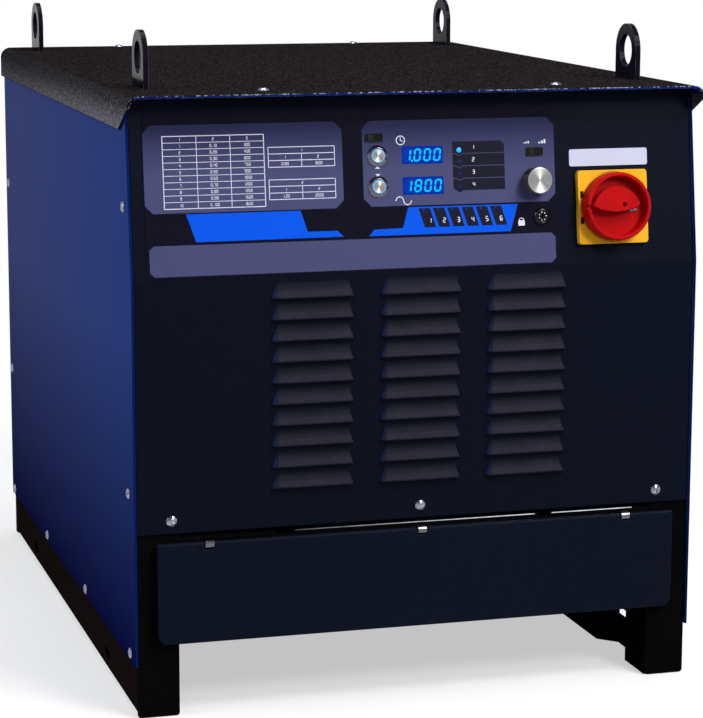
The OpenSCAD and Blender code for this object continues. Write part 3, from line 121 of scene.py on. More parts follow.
class Tree:
    """A material's nodes, with short calls for what the paints below share."""

    def __init__(self, name):
        self.mat = bpy.data.materials.new(name)
        self.mat.use_nodes = True
        self.tree = self.mat.node_tree
        self.bsdf = self.tree.nodes["Principled BSDF"]
        self.coord = self.new("ShaderNodeTexCoord").outputs["Object"]

    def new(self, kind, **values):
        node = self.tree.nodes.new(kind)
        for k, v in values.items():
            setattr(node, k, v)
        return node

    def link(self, a, b):
        self.tree.links.new(a, b)

    def split(self, vector):
        """The X, Y and Z of a vector."""
        node = self.new("ShaderNodeSeparateXYZ")
        self.link(vector, node.inputs[0])
        return node.outputs[0], node.outputs[1], node.outputs[2]

    def facing(self):
        """The X, Y and Z of the way that a place faces."""
        return self.split(self.new("ShaderNodeNewGeometry").outputs["Normal"])

    def noise(self, scale, detail, rough=0.55, stretch=None):
        node = self.new("ShaderNodeTexNoise")
        node.inputs["Scale"].default_value = scale
        node.inputs["Detail"].default_value = detail
        node.inputs["Roughness"].default_value = rough
        source = self.coord
        if stretch:
            mapping = self.new("ShaderNodeMapping")
            mapping.inputs["Scale"].default_value = stretch
            self.link(self.coord, mapping.inputs["Vector"])
            source = mapping.outputs["Vector"]
        self.link(source, node.inputs["Vector"])
        return node.outputs["Fac"]

    def ramp(self, fac, stops):
        """Colours along a value, from a list of (place, colour)."""
        node = self.new("ShaderNodeValToRGB")
        ends = node.color_ramp.elements
        for end, (place, colour) in zip((ends[0], ends[1]), (stops[0], stops[-1])):
            end.position = place
            end.color = (*colour, 1)
        for place, colour in stops[1:-1]:
            ends.new(place).color = (*colour, 1)
        self.link(fac, node.inputs["Fac"])
        return node.outputs["Color"]

    def tint(self, fac, dark, light, over=(0.3, 0.7)):
        """A colour that goes from dark to light over a stretch of a value."""
        return self.ramp(fac, [(over[0], dark), (over[1], light)])

    def span(self, value, to=(0.0, 1.0), over=(0.3, 0.7)):
        """A value that goes from to[0] to to[1] while another goes over a stretch."""
        node = self.new("ShaderNodeMapRange")
        node.inputs["From Min"].default_value = over[0]
        node.inputs["From Max"].default_value = over[1]
        node.inputs["To Min"].default_value = to[0]
        node.inputs["To Max"].default_value = to[1]
        self.link(value, node.inputs["Value"])
        return node.outputs["Result"]

    def uneven(self, rough, scale=40, detail=4):
        """A roughness that wanders between two values."""
        return self.span(self.noise(scale, detail), rough)

    def mix(self, fac, a, b, blend="MIX"):
        node = self.new("ShaderNodeMix", data_type="RGBA", blend_type=blend)
        for socket, value in (("A", a), ("B", b)):
            target = [s for s in node.inputs if s.name == socket and s.type == "RGBA"][0]
            if isinstance(value, tuple):
                target.default_value = (*value, 1)
            else:
                self.link(value, target)
        factor = [s for s in node.inputs if s.name == "Factor" and s.type == "VALUE"][0]
        if isinstance(fac, float):
            factor.default_value = fac
        else:
            self.link(fac, factor)
        return [s for s in node.outputs if s.type == "RGBA"][0]

    def math(self, op, a, b=None):
        node = self.new("ShaderNodeMath", operation=op)
        for i, value in enumerate((a, b)):
            if value is None:
                continue
            if isinstance(value, (int, float)):
                node.inputs[i].default_value = value
            else:
                self.link(value, node.inputs[i])
        return node.outputs[0]

    def times(self, a, b):
        return self.math("MULTIPLY", a, b)

    def edges(self, radius):
        """The normal of softly rounded edges, and how much each place is an edge."""
        bevel = self.new("ShaderNodeBevel", samples=6)
        bevel.inputs["Radius"].default_value = radius
        flat = self.new("ShaderNodeNewGeometry").outputs["Normal"]
        dot = self.new("ShaderNodeVectorMath", operation="DOT_PRODUCT")
        self.link(bevel.outputs["Normal"], dot.inputs[0])
        self.link(flat, dot.inputs[1])
        return bevel.outputs["Normal"], self.span(dot.outputs["Value"], (1.0, 0.0), (0.75, 0.995))

    def bump(self, height, strength, distance, normal=None):
        node = self.new("ShaderNodeBump")
        node.inputs["Strength"].default_value = strength
        node.inputs["Distance"].default_value = distance
        self.link(height, node.inputs["Height"])
        if normal is not None:
            self.link(normal, node.inputs["Normal"])
        return node.outputs["Normal"]

    def put(self, **sockets):
        """Sets or links the shader's sockets and returns the material."""
        names = {"color": "Base Color", "rough": "Roughness", "metal": "Metallic", "normal": "Normal",
                 "spec": "Specular IOR Level", "aniso": "Anisotropic", "turn": "Anisotropic Rotation",
                 "tangent": "Tangent", "glow": "Emission Color", "glow_strength": "Emission Strength"}
        for k, v in sockets.items():
            socket = self.bsdf.inputs[names[k]]
            if isinstance(v, (int, float)):
                socket.default_value = v
            elif isinstance(v, tuple):
                socket.default_value = (*v, 1)
            else:
                self.link(v, socket)
        return self.mat


def paint(name, dark, light, worn, rough, spec, grain, grain_bump, edge=0.0007, grain_share=0.5):
    """Powder or gloss paint: slow cloudy tint, fine grain, and soft edges in a paler colour, which is wear on most
    paints and a painted highlight on the lifting eyes' paint.
    """
    t = Tree(name)
    cloud = t.tint(t.noise(7, 4), dark, light)
    fine = t.noise(grain, 2.5, 0.6)
    speck = t.tint(fine, scaled(dark, 0.72), scaled(light, 1.7), (0.42, 0.68))
    body = t.mix(grain_share, cloud, speck)
    normal, edge_mask = t.edges(edge)
    edge_marks = t.times(edge_mask, t.span(t.noise(160, 4), (0.15, 0.9), (0.35, 0.65)))
    return t.put(color=t.mix(edge_marks, body, worn), rough=t.uneven(rough), spec=spec,
                 normal=t.bump(fine, grain_bump, PAINT_GRAIN, normal))


def metal(name, dark, light, rough, scale, stretch=(1, 1, 1)):
    """Bare or plated metal with a mottled tint and fine scratches."""
    t = Tree(name)
    body = t.tint(t.noise(scale, 4), dark, light)
    scratch = t.noise(scale * 6, 3, 0.6, stretch)
    normal, edge_mask = t.edges(0.0004)
    colour = t.mix(t.times(edge_mask, 0.4), body, scaled(light, 1.25))
    return t.put(color=colour, metal=1.0, rough=t.span(scratch, rough),
                 normal=t.bump(scratch, 0.12, SKIN_GRAIN, normal))


# Stretch over which the strip over the flap gets brighter, in metres: its painted highlight fades out towards the
# left
HIGHLIGHT_FADE_X = (-0.17, 0.13)


def strip_metal(name):
    """Bright metal strip, a painted highlight line, duller towards its left end where the painted highlight fades.
    """
    t = Tree(name)
    x = t.split(t.coord)[0]
    bright = t.tint(t.noise(90, 4), (0.40, 0.41, 0.46), (0.84, 0.86, 0.95))
    colour = t.mix(t.span(x, over=HIGHLIGHT_FADE_X), (0.012, 0.012, 0.014), bright)
    return t.put(color=colour, metal=1.0, rough=t.uneven((0.08, 0.16), 500, 3))


def plastic(name, dark, light, rough, spec=0.4, grain=900, grain_bump=0.1):
    """Moulded plastic with a fine spark-eroded grain."""
    t = Tree(name)
    body = t.tint(t.noise(30, 4), dark, light)
    fine = t.noise(grain, 2)
    normal, edge_mask = t.edges(0.0006)
    colour = t.mix(t.times(edge_mask, 0.35), body, scaled(light, 1.6, 0.01))
    return t.put(color=colour, rough=t.uneven(rough, 90, 3), spec=spec,
                 normal=t.bump(fine, grain_bump, SKIN_GRAIN, normal))


# Where the lid's flanges turn pale with painted sheen, and how far its front edge stands before the panel, in
# metres
FLANGE_SHEEN_Y, FLANGE_SHEEN_Z = (-0.44, 0.30), (0.676, 0.706)
LID_FRONT_Y = (FRONT_Y - 0.0064, FRONT_Y - 0.0058)
EDGE_BLUE_Z = (LID_EDGE_Z, LID_EDGE_Z + 0.0004)
# Heights of the painted highlight specks along the front edge's top
EDGE_GLINT_Z = (LID_EDGE_Z + 0.0018, LID_EDGE_Z + 0.0021)


def lid_texture(name):
    """Coarse black texture paint: pale grains of painted sheen on the flanges, blue underneath and on the front
    edge, with painted highlight specks along the front edge's top.
    """
    t = Tree(name)
    _, y, z = t.split(t.coord)
    face_x, face_y, face_z = t.facing()
    grain = t.noise(430, 3, 0.66)
    top = t.ramp(grain, [(0.40, (0.0022, 0.0016, 0.0018)), (0.52, (0.0070, 0.0056, 0.0062)),
                         (0.62, (0.030, 0.026, 0.029))])
    flank_sheen = t.ramp(grain, [(0.40, (0.060, 0.057, 0.064)), (0.50, (0.135, 0.129, 0.146)),
                           (0.60, (0.27, 0.262, 0.295))])
    # Painted sheen: the flanges are palest low down and towards the front
    flange_sheen = t.span(t.math("ABSOLUTE", face_x), over=(0.30, 0.85))
    flange_sheen = t.times(flange_sheen, t.span(z, (1.0, 0.12), FLANGE_SHEEN_Z))
    body = t.mix(t.times(flange_sheen, t.span(y, (1.0, 0.40), FLANGE_SHEEN_Y)), top, flank_sheen)
    normal, edge_mask = t.edges(0.0014)
    body = t.mix(t.times(edge_mask, t.span(grain, (0.0, 0.9), (0.47, 0.60))), body, (0.42, 0.43, 0.50))
    body = t.mix(t.span(face_z, (1.0, 0.0), (-0.35, -0.25)), body, (0.0035, 0.011, 0.080))
    # The front edge is blue, with a line of pale specks along its top: a painted highlight
    front = t.span(y, (1.0, 0.0), LID_FRONT_Y)
    front = t.times(front, t.span(face_y, (1.0, 0.0), (-0.9, -0.6)))
    blue = t.times(front, t.span(z, over=EDGE_BLUE_Z))
    colour = t.mix(blue, body, (0.0035, 0.014, 0.125))
    pale = t.times(front, t.span(z, over=EDGE_GLINT_Z))
    glint_specks = t.tint(t.noise(330, 3, 0.66), (0.004, 0.004, 0.006), (0.30, 0.31, 0.38), (0.50, 0.60))
    colour = t.mix(pale, colour, glint_specks)
    return t.put(color=colour, rough=t.uneven((0.6, 0.75)), spec=0.0,
                 normal=t.bump(grain, 1.0, LID_GRAIN, normal))


# Stretches over which the side panels' paint changes, in metres: painted sheen to the back, painted shade upwards
# and painted shade from rim to rim
SIDE_SHEEN_Y, SIDE_SHADE_Z, RIM_SHADE_X = (FRONT_Y, 0.35), (0.05, 0.43), (-0.3, 0.3)


def side_paint(name):
    """Blue powder paint of the side panels: greyer at the back from painted sheen, darker low down and on the
    right-hand front rim from painted shade, and bluer on its edges.
    """
    t = Tree(name)
    x, y, z = t.split(t.coord)
    face_y = t.facing()[1]
    # Painted sheen: greyer towards the back
    body = t.mix(t.span(y, over=SIDE_SHEEN_Y), (0.0262, 0.0505, 0.206), (0.0520, 0.0670, 0.193))
    # Painted shade: darker low down
    shade = t.new("ShaderNodeCombineColor")
    for socket, low in zip(shade.inputs, (0.08, 0.08, 0.22)):
        t.link(t.span(z, (low, 1.0), SIDE_SHADE_Z), socket)
    body = t.mix(1.0, body, shade.outputs[0], "MULTIPLY")
    fine = t.noise(1000, 2.5, 0.6)
    grey = t.tint(fine, (0.35, 0.35, 0.35), (0.65, 0.65, 0.65), (0.35, 0.65))
    body = t.mix(0.25, body, grey, "OVERLAY")
    normal, edge_mask = t.edges(0.0007)
    edge_marks = t.times(edge_mask, t.span(t.noise(120, 3), (0.4, 0.9), (0.35, 0.65)))
    colour = t.mix(edge_marks, body, (0.006, 0.036, 0.34))
    # Painted shade: the front rims darker towards the right
    rim = t.mix(t.span(x, over=RIM_SHADE_X), (0.0030, 0.0110, 0.092), (0.0016, 0.0056, 0.046))
    colour = t.mix(t.span(face_y, (1.0, 0.0), (-0.9, -0.6)), colour, rim)
    return t.put(color=colour, rough=t.uneven((0.46, 0.6)), spec=0.0,
                 normal=t.bump(fine, 0.25, PAINT_GRAIN, normal))


# Depths between which the painted light on the louvres' hoods fades from its palest to nearly plain paint, in
# metres
HOOD_LIGHT_Y = (FRONT_Y - 0.0047, FRONT_Y - 0.0024)


def louvre_paint(name):
    """The front panel's dark powder paint: painted light makes the louvres' hoods paler, painted blue light tints
    their left ends and painted shade darkens their right ends.
    """
    t = Tree(name)
    y = t.split(t.coord)[1]
    face_x, _, face_z = t.facing()
    fine = t.noise(900, 2.5, 0.6)
    flat = t.tint(fine, (0.0014, 0.0026, 0.0076), (0.0032, 0.0052, 0.0130), (0.40, 0.66))
    hood_lit = t.tint(fine, (0.0074, 0.0071, 0.0150), (0.0165, 0.0158, 0.0310), (0.40, 0.66))
    normal = t.edges(0.003)[0]
    sloped = t.span(face_z, over=(0.17, 0.34))
    stands_out = t.span(y, (1.0, 0.1), HOOD_LIGHT_Y)
    # Painted light on the hoods' sloping faces, painted blue light on their left ends, painted shade on their
    # right ends
    body = t.mix(t.times(sloped, stands_out), flat, hood_lit)
    body = t.mix(t.span(face_x, (1.0, 0.0), (-0.75, -0.35)), body, (0.007, 0.014, 0.060))
    body = t.mix(t.span(face_x, over=(0.35, 0.75)), body, (0.0008, 0.0009, 0.0014))
    return t.put(color=body, rough=t.uneven((0.36, 0.46)), spec=0.034,
                 normal=t.bump(fine, 0.7, PAINT_GRAIN, normal))


def runner_paint(name):
    """Black paint of the runners, paler and browner on their flanks."""
    t = Tree(name)
    face_x = t.facing()[0]
    fine = t.noise(260, 2.5, 0.6)
    main_tint = t.tint(fine, (0.0021, 0.0020, 0.0022), (0.0030, 0.0029, 0.0031), (0.35, 0.65))
    flank_tint = t.tint(fine, (0.0080, 0.0054, 0.0046), (0.0125, 0.0088, 0.0076), (0.35, 0.65))
    body = t.mix(t.span(t.math("ABSOLUTE", face_x), over=(0.5, 0.9)), main_tint, flank_tint)
    normal = t.edges(0.0012)[0]
    return t.put(color=body, rough=t.uneven((0.3, 0.4)), spec=0.0,
                 normal=t.bump(fine, 0.05, PAINT_GRAIN, normal))


# Shine of the inks, and heights between which the slate ink darkens, in metres
PRINT_SPEC = 0.05
SLATE_FADE_Z = (BEND_Z + 0.115, BEND_Z + 0.165)


def print_finish(t, colour, spec):
    """The soft sheen that all inks on the overlay film share."""
    return t.put(color=colour, rough=t.uneven((0.45, 0.6), 60, 3), spec=spec,
                 normal=t.bump(t.noise(1500, 2), 0.05, PRINT_GRAIN))


def slate_film(name, high, low):
    """The overlay's slate ink, which darkens towards the top of each field."""
    t = Tree(name)
    up = t.span(t.split(t.coord)[2], over=SLATE_FADE_Z)
    grain = t.tint(t.noise(900, 2), scaled(low, 0.75), scaled(low, 1.1), (0.35, 0.65))
    colour = t.mix(0.35, t.mix(up, low, high), grain, "SOFT_LIGHT")
    return print_finish(t, colour, PRINT_SPEC)


def print_ink(name, dark, light, spec=PRINT_SPEC):
    """Screen print on the overlay film, with a slight dot grain."""
    t = Tree(name)
    colour = t.tint(t.noise(900, 2), dark, light, (0.35, 0.65))
    return print_finish(t, colour, spec)


def spun(name, dark, light, rim, rim_radius, rough, aniso):
    """Metal turned on a lathe: fine rings round its axis, their fan-shaped shine, and a rim darkened by painted
    shade.
    """
    t = Tree(name)
    x, y, _ = t.split(t.coord)
    radius = t.math("SQRT", t.math("ADD", t.math("POWER", x, 2.0), t.math("POWER", y, 2.0)))
    rings = t.new("ShaderNodeTexNoise", noise_dimensions="1D")
    t.link(radius, rings.inputs["W"])
    rings.inputs["Scale"].default_value = 4200
    rings.inputs["Detail"].default_value = 2
    colour = t.tint(rings.outputs["Fac"], dark, light)
    colour = t.mix(t.span(radius, over=(rim_radius - 0.0012, rim_radius - 0.0006)), colour, rim)
    tangent = t.new("ShaderNodeTangent", direction_type="RADIAL", axis="Z")
    return t.put(color=colour, metal=1.0, rough=rough, aniso=aniso, turn=0.25,
                 tangent=tangent.outputs["Tangent"], normal=t.bump(rings.outputs["Fac"], 0.08, LATHE_GRAIN))


def lit(name, colour, glow, strength, spec=0.3):
    """A lamp or lit segment: a tint that glows, a little uneven."""
    t = Tree(name)
    tint = t.tint(t.noise(700, 2), scaled(colour, 0.85), colour)
    return t.put(color=tint, rough=0.35, spec=spec, glow=glow, glow_strength=strength)


# Materials, by their names: the CAD's slots and those of the added pieces
materials = {}


def add(make, name, **looks):
    materials[name] = make(name, **looks)


add(paint, "gloss_black_paint", dark=(0.0022, 0.0021, 0.0023), light=(0.0033, 0.0031, 0.0034),
    worn=(0.014, 0.013, 0.014), rough=(0.16, 0.28), spec=0.0,
    grain=260, grain_bump=0.05, edge=0.0012, grain_share=0.15)
# The lifting eyes' paler edge colour is a painted highlight.
add(paint, "eye_paint", dark=(0.0036, 0.0030, 0.0062), light=(0.0058, 0.0050, 0.0090),
    worn=(0.17, 0.19, 0.27), rough=(0.08, 0.18), spec=0.022,
    grain=260, grain_bump=0.04, edge=0.0010, grain_share=0.15)
add(paint, "deck_paint", dark=(0.010, 0.010, 0.012), light=(0.018, 0.018, 0.020),
    worn=(0.06, 0.06, 0.06), rough=(0.4, 0.55), spec=0.08,
    grain=700, grain_bump=0.15)
add(paint, "panel_paint", dark=(0.0020, 0.0036, 0.0100), light=(0.0032, 0.0052, 0.0138),
    worn=(0.006, 0.008, 0.018), rough=(0.36, 0.46), spec=0.034,
    grain=900, grain_bump=0.7, edge=0.0022, grain_share=0.6)
add(side_paint, "blue_paint")
add(louvre_paint, "louvre_paint")
add(runner_paint, "runner_paint")
add(lid_texture, "lid_paint")

add(metal, "stainless", dark=(0.085, 0.085, 0.095), light=(0.17, 0.17, 0.185), rough=(0.07, 0.15),
    scale=400)
add(metal, "dark_metal", dark=(0.006, 0.006, 0.007), light=(0.024, 0.024, 0.028), rough=(0.12, 0.26),
    scale=420)
add(metal, "zinc", dark=(0.05, 0.055, 0.075), light=(0.44, 0.47, 0.58), rough=(0.16, 0.30),
    scale=420)
add(metal, "brass", dark=(0.52, 0.33, 0.12), light=(0.70, 0.47, 0.19), rough=(0.2, 0.36),
    scale=260)
add(metal, "chrome_bit", dark=(0.46, 0.48, 0.50), light=(0.66, 0.68, 0.70), rough=(0.10, 0.2),
    scale=500)
add(metal, "core_steel", dark=(0.05, 0.05, 0.055), light=(0.11, 0.11, 0.115), rough=(0.4, 0.6),
    scale=60, stretch=(1, 60, 1))
add(metal, "winding", dark=(0.30, 0.13, 0.05), light=(0.48, 0.22, 0.09), rough=(0.3, 0.5),
    scale=80, stretch=(1, 1, 40))
add(metal, "bare_aluminium", dark=(0.50, 0.50, 0.51), light=(0.68, 0.68, 0.69), rough=(0.28, 0.45),
    scale=120, stretch=(1, 0.1, 1))
# The dark rim colour is painted shade on the knob's grooved side.
add(spun, "spun_aluminium", dark=(0.24, 0.24, 0.25), light=(0.42, 0.42, 0.43), rim=(0.045, 0.045, 0.052),
    rim_radius=DIAL_R / 1000, rough=0.50, aniso=0.92)
add(strip_metal, "strip_steel")

add(plastic, "black_plastic", dark=(0.0030, 0.0030, 0.0034), light=(0.0055, 0.0055, 0.0062),
    rough=(0.34, 0.5), spec=0.12)
add(plastic, "plate_yellow", dark=(0.70, 0.34, 0.012), light=(0.78, 0.40, 0.018),
    rough=(0.40, 0.54), spec=0.08, grain=700, grain_bump=0.08)
add(plastic, "handle_red", dark=(0.33, 0.0014, 0.0026), light=(0.40, 0.0022, 0.0040),
    rough=(0.34, 0.48), spec=0.05, grain=700, grain_bump=0.08)
add(plastic, "circuit_board", dark=(0.012, 0.09, 0.03), light=(0.022, 0.14, 0.05),
    rough=(0.3, 0.45), grain=500, grain_bump=0.2)

add(print_ink, "overlay_print", dark=(0.0030, 0.0027, 0.0088), light=(0.0044, 0.0040, 0.0120), spec=0.03)
add(print_ink, "blue_print", dark=(0.0, 0.072, 0.62), light=(0.0, 0.080, 0.70))
add(print_ink, "white_print", dark=(0.52, 0.53, 0.66), light=(0.68, 0.69, 0.82))
add(print_ink, "label_white", dark=(0.43, 0.47, 0.63), light=(0.49, 0.53, 0.69))
add(print_ink, "dark_print", dark=(0.0060, 0.0062, 0.015), light=(0.0085, 0.0088, 0.020))
add(slate_film, "slate_print", high=(0.026, 0.029, 0.088), low=(0.072, 0.078, 0.172))

add(lit, "display_window", colour=(0.0, 0.007, 0.10), glow=(0.001, 0.024, 0.29), strength=0.85, spec=0.02)
add(lit, "segment_lit", colour=(0.0, 0.10, 0.30), glow=(0.002, 0.46, 1.0), strength=1.1, spec=0.02)
add(lit, "segment_ghost", colour=(0.0, 0.008, 0.09), glow=(0.001, 0.042, 0.44), strength=0.8, spec=0.02)
add(lit, "lamp_lit", colour=(0.0, 0.10, 0.30), glow=(0.01, 0.30, 1.0), strength=1.5)
# The unlit lamps' faint glow is painted light
add(lit, "lamp_off", colour=(0.003, 0.009, 0.070), glow=(0.0, 0.008, 0.08), strength=0.3, spec=0.08)
add(lit, "ring_lit", colour=(0.05, 0.2, 0.4), glow=(0.10, 0.42, 0.95), strength=0.8)

# Nodes, or the first words of their names, that have a paint of their own
OWN_PAINT = {"key_lock_barrel": "dark_metal", "front_panel": "louvre_paint", "flap_hinge_rod": "chrome_bit",
             "flap_hinge_clips": "stainless", "lifting_eye_front": "eye_paint",
             "lifting_eye_rear": "eye_paint", "base_runner": "runner_paint"}
for row in frame["record"]["subparts"]:
    data = nodes[row["node"]].data
    data.materials.clear()
    own = OWN_PAINT.get(row["node"].rsplit("_", 1)[0], row["material_slot"])
    data.materials.append(materials[OWN_PAINT.get(row["node"], own)])


# Helpers for the pieces that this script adds

# Edges sharper than this stay sharp on a smooth piece, in radians
SHARP_ANGLE = 0.6


def piece(name, bm, material, body, matrix=None, smooth=SHARP_ANGLE):
    """Makes an object of a bmesh, paints it and lets it ride on a body."""
    bmesh.ops.recalc_face_normals(bm, faces=bm.faces)
    mesh = bpy.data.meshes.new(name)
    bm.to_mesh(mesh)
    bm.free()
    ob = bpy.data.objects.new(name, mesh)
    bpy.context.scene.collection.objects.link(ob)
    mesh.materials.append(materials[material])
    if smooth:
        mesh.shade_smooth()
        mesh.set_sharp_from_angle(angle=smooth)
    if matrix is not None:
        ob.matrix_world = matrix
    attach(ob, body)
    return ob


def overlay_piece(name, bm, material):
    piece(name, bm, material, "cabinet", smooth=0)


def prism(bm, points, z0, z1):
    """A flat printed or moulded shape on the leaning panel, from one height to another."""
    low = [bm.verts.new(lean(x, u, z0)) for x, u in points]
    top = [bm.verts.new(lean(x, u, z1)) for x, u in points]
    n = len(points)
    bm.faces.new(top)
    bm.faces.new(low[::-1])
    for i in range(n):
        bm.faces.new((low[i], low[(i + 1) % n], top[(i + 1) % n], top[i]))


def rectangle(x0, x1, u0, u1):
    return [(x0, u0), (x1, u0), (x1, u1), (x0, u1)]


def chamfered(x0, x1, u0, u1, c):
    return [(x0 + c, u0), (x1 - c, u0), (x1, u0 + c), (x1, u1 - c),
            (x1 - c, u1), (x0 + c, u1), (x0, u1 - c), (x0, u0 + c)]


# Straight pieces of a rounded corner and of a full printed ring
CORNER_STEPS, RING_STEPS = 5, 36


def rounded(x0, x1, u0, u1, r):
    points = []
    corners = ((x1 - r, u0 + r, -90), (x1 - r, u1 - r, 0), (x0 + r, u1 - r, 90), (x0 + r, u0 + r, 180))
    for cx, cu, a0 in corners:
        for i in range(CORNER_STEPS + 1):
            a = math.radians(a0 + 90 * i / CORNER_STEPS)
            points.append((cx + r * math.cos(a), cu + r * math.sin(a)))
    return points


def circle(r, n):
    return [(r * math.cos(2 * math.pi * i / n), r * math.sin(2 * math.pi * i / n)) for i in range(n)]


def disc(x, u, r, n):
    return [(x + dx, u + du) for dx, du in circle(r, n)]


def stroke(bm, a, b, width, z0, z1):
    """A straight printed line with square ends."""
    d = Vector((b[0] - a[0], b[1] - a[1])).normalized()
    s = Vector((-d.y, d.x)) * width / 2
    e = d * width / 2
    prism(bm, [(a[0] - s.x - e.x, a[1] - s.y - e.y), (b[0] - s.x + e.x, b[1] - s.y + e.y),
               (b[0] + s.x + e.x, b[1] + s.y + e.y), (a[0] + s.x - e.x, a[1] + s.y - e.y)], z0, z1)


def ring(bm, x, u, r, width, z0, z1, a0=0, a1=360):
    """A printed ring or arc."""
    count = int(RING_STEPS * (a1 - a0) / 360)
    inner, outer = r - width / 2, r + width / 2
    angles = [math.radians(a0 + (a1 - a0) * i / count) for i in range(count + 1)]
    for p, q in zip(angles, angles[1:]):
        corners = ((inner, p), (outer, p), (outer, q), (inner, q))
        prism(bm, [(x + k * math.cos(a), u + k * math.sin(a)) for k, a in corners], z0, z1)


SEGMENTS = {"0": "abcdef", "1": "bc", "2": "abged", "3": "abgcd", "4": "fgbc", "5": "afgcd", "6": "afgedc",
            "7": "abc", "8": "abcdefg", "9": "abcdfg"}


def digit(bm, x, u, w, h, t, slant, which, z0, z1, gap=0.18):
    """Seven-segment figure, its middle at x and u, leaning right by slant."""
    right, top = w / 2, h / 2
    places = {"a": ((-right, top), (right, top)), "g": ((-right, 0), (right, 0)),
              "d": ((-right, -top), (right, -top)), "f": ((-right, 0), (-right, top)),
              "b": ((right, 0), (right, top)), "e": ((-right, -top), (-right, 0)),
              "c": ((right, -top), (right, 0))}
    for key in which:
        start, end = (Vector(p) for p in places[key])
        d = (end - start).normalized()
        s = Vector((-d.y, d.x)) * t / 2
        a, b = start + d * gap, end - d * gap
        shape = [a, a + d * t / 2 - s, b - d * t / 2 - s, b, b - d * t / 2 + s, a + d * t / 2 + s]
        prism(bm, [(x + p.x + p.y * slant, u + p.y) for p in shape], z0, z1)


# Printed figures: shares of their height
FIGURE_LINE, FIGURE_W, FIGURE_PITCH, POINT_PITCH = 0.15, 0.45, 0.72, 0.34


def number(bm, text, x, u, h, z0, z1):
    """A plain number centred at x and u."""
    t = h * FIGURE_LINE
    widths = [h * POINT_PITCH if c == "." else h * FIGURE_PITCH for c in text]
    at = x - sum(widths) / 2
    for c, wide in zip(text, widths):
        mid = at + wide / 2
        if c == ".":
            prism(bm, disc(mid, u - h / 2 + t / 2, t * 0.75, n=8), z0, z1)
        else:
            digit(bm, mid, u, h * FIGURE_W, h - t, t, 0.0, SEGMENTS[c], z0, z1, 0.0)
        at += wide


def turned(profile, steps):
    """A solid of revolution about Z from (radius, height) points, in millimetres."""
    bm = bmesh.new()
    rings = []
    for r, z in profile:
        round_points = circle(r / 1000, steps) if r else [(0, 0)]
        rings.append([bm.verts.new((x, y, z / 1000)) for x, y in round_points])
    for a, b in zip(rings, rings[1:]):
        for i in range(steps):
            j = (i + 1) % steps
            if len(a) == 1:
                bm.faces.new((a[0], b[j], b[i]))
            elif len(b) == 1:
                bm.faces.new((a[i], a[j], b[0]))
            else:
                bm.faces.new((a[i], a[j], b[j], b[i]))
    return bm


# Printed overlay: foot and top of its three layers above the panel's face
INK = (FILM - 0.02, FILM + 0.06)
LINE = (FILM + 0.04, FILM + 0.12)
MARK = (FILM + 0.10, FILM + 0.18)

# Slate fields, each with its left, right, foot and top, and the display windows cut out of the second
TABLE_FIELD = (-320.6, -90.5, 74.4, 172.7)
CONTROL_FIELD = (-66.6, 165.4, 74.8, 172.5)
BARE_STRIP = (-317.5, 164.0, 3.7, 38.4)
FIELD_CHAMFER, STRIP_CHAMFER = 9, 5
DISPLAY_RIM = 3.0
bm = bmesh.new()
prism(bm, chamfered(*TABLE_FIELD, FIELD_CHAMFER), *INK)
x0, x1, u0, u1 = CONTROL_FIELD
near, far = x0 + FIELD_CHAMFER, x1 - FIELD_CHAMFER
low, high = u0 + FIELD_CHAMFER, u1 - FIELD_CHAMFER
left, right = TIME_BOX[0][0] + DISPLAY_RIM, TIME_BOX[0][1] - DISPLAY_RIM
prism(bm, [(near, u0), (left, u0), (left, u1), (near, u1), (x0, high), (x0, low)], *INK)
prism(bm, [(right, u0), (far, u0), (x1, low), (x1, high), (far, u1), (right, u1)], *INK)
prism(bm, rectangle(left, right, u0, AMPS_BOX[1][0] + DISPLAY_RIM), *INK)
prism(bm, rectangle(left, right, AMPS_BOX[1][1] - DISPLAY_RIM, TIME_BOX[1][0] + DISPLAY_RIM), *INK)
prism(bm, rectangle(left, right, TIME_BOX[1][1] - DISPLAY_RIM, u1), *INK)
prism(bm, chamfered(*BARE_STRIP, STRIP_CHAMFER), *INK)
overlay_piece("overlay_slate_print", bm, "slate_print")

# Blue banners under the two fields
LEFT_BANNER = [(-274.2, 73.0), (-263.6, 41.5), (-92.0, 42.0), (-99.2, 48.9), (-134.1, 49.0), (-141.8, 73.0)]
RIGHT_BANNER = [(-14.2, 73.0), (-21.2, 49.4), (-55.3, 48.8), (-62.1, 41.4), (109.0, 41.5), (118.8, 72.7)]
bm = bmesh.new()
prism(bm, LEFT_BANNER, *INK)
prism(bm, RIGHT_BANNER, *INK)
overlay_piece("overlay_blue_print", bm, "blue_print")

# White print, first the table of settings: its box, its lines and its plain figures
TABLE_X0, TABLE_X1, TABLE_U0, TABLE_U1 = -298.5, -182.0, 79.2, 160.2
ROWS = 11
ROW_H = (TABLE_U1 - TABLE_U0) / ROWS
COLUMNS = [TABLE_X0 + (TABLE_X1 - TABLE_X0) * share for share in (0, 0.333, 0.666, 1)]
FRAME_LINE, ROW_LINE, COLUMN_LINE, SMALL_LINE = 0.9, 0.62, 0.7, 0.8
FIGURE_H = 3.5


def row_figures(row):
    """The columns' own numbers in the first row, and figures in steady steps below it."""
    if row == 0:
        return "1", "2", "3"
    return str(row), "0.%02d" % (10 * row), str(150 * row + 150)


bm = bmesh.new()
for i in range(ROWS + 1):
    u = TABLE_U0 + ROW_H * i
    stroke(bm, (TABLE_X0, u), (TABLE_X1, u), FRAME_LINE if i in (0, ROWS) else ROW_LINE, *LINE)
for x in COLUMNS:
    width = FRAME_LINE if x in (TABLE_X0, TABLE_X1) else COLUMN_LINE
    stroke(bm, (x, TABLE_U0), (x, TABLE_U1), width, *LINE)
for row in range(ROWS):
    for span, text in zip(zip(COLUMNS, COLUMNS[1:]), row_figures(row)):
        number(bm, text, middle(span), TABLE_U1 - ROW_H * (row + 0.5), FIGURE_H, *LINE)

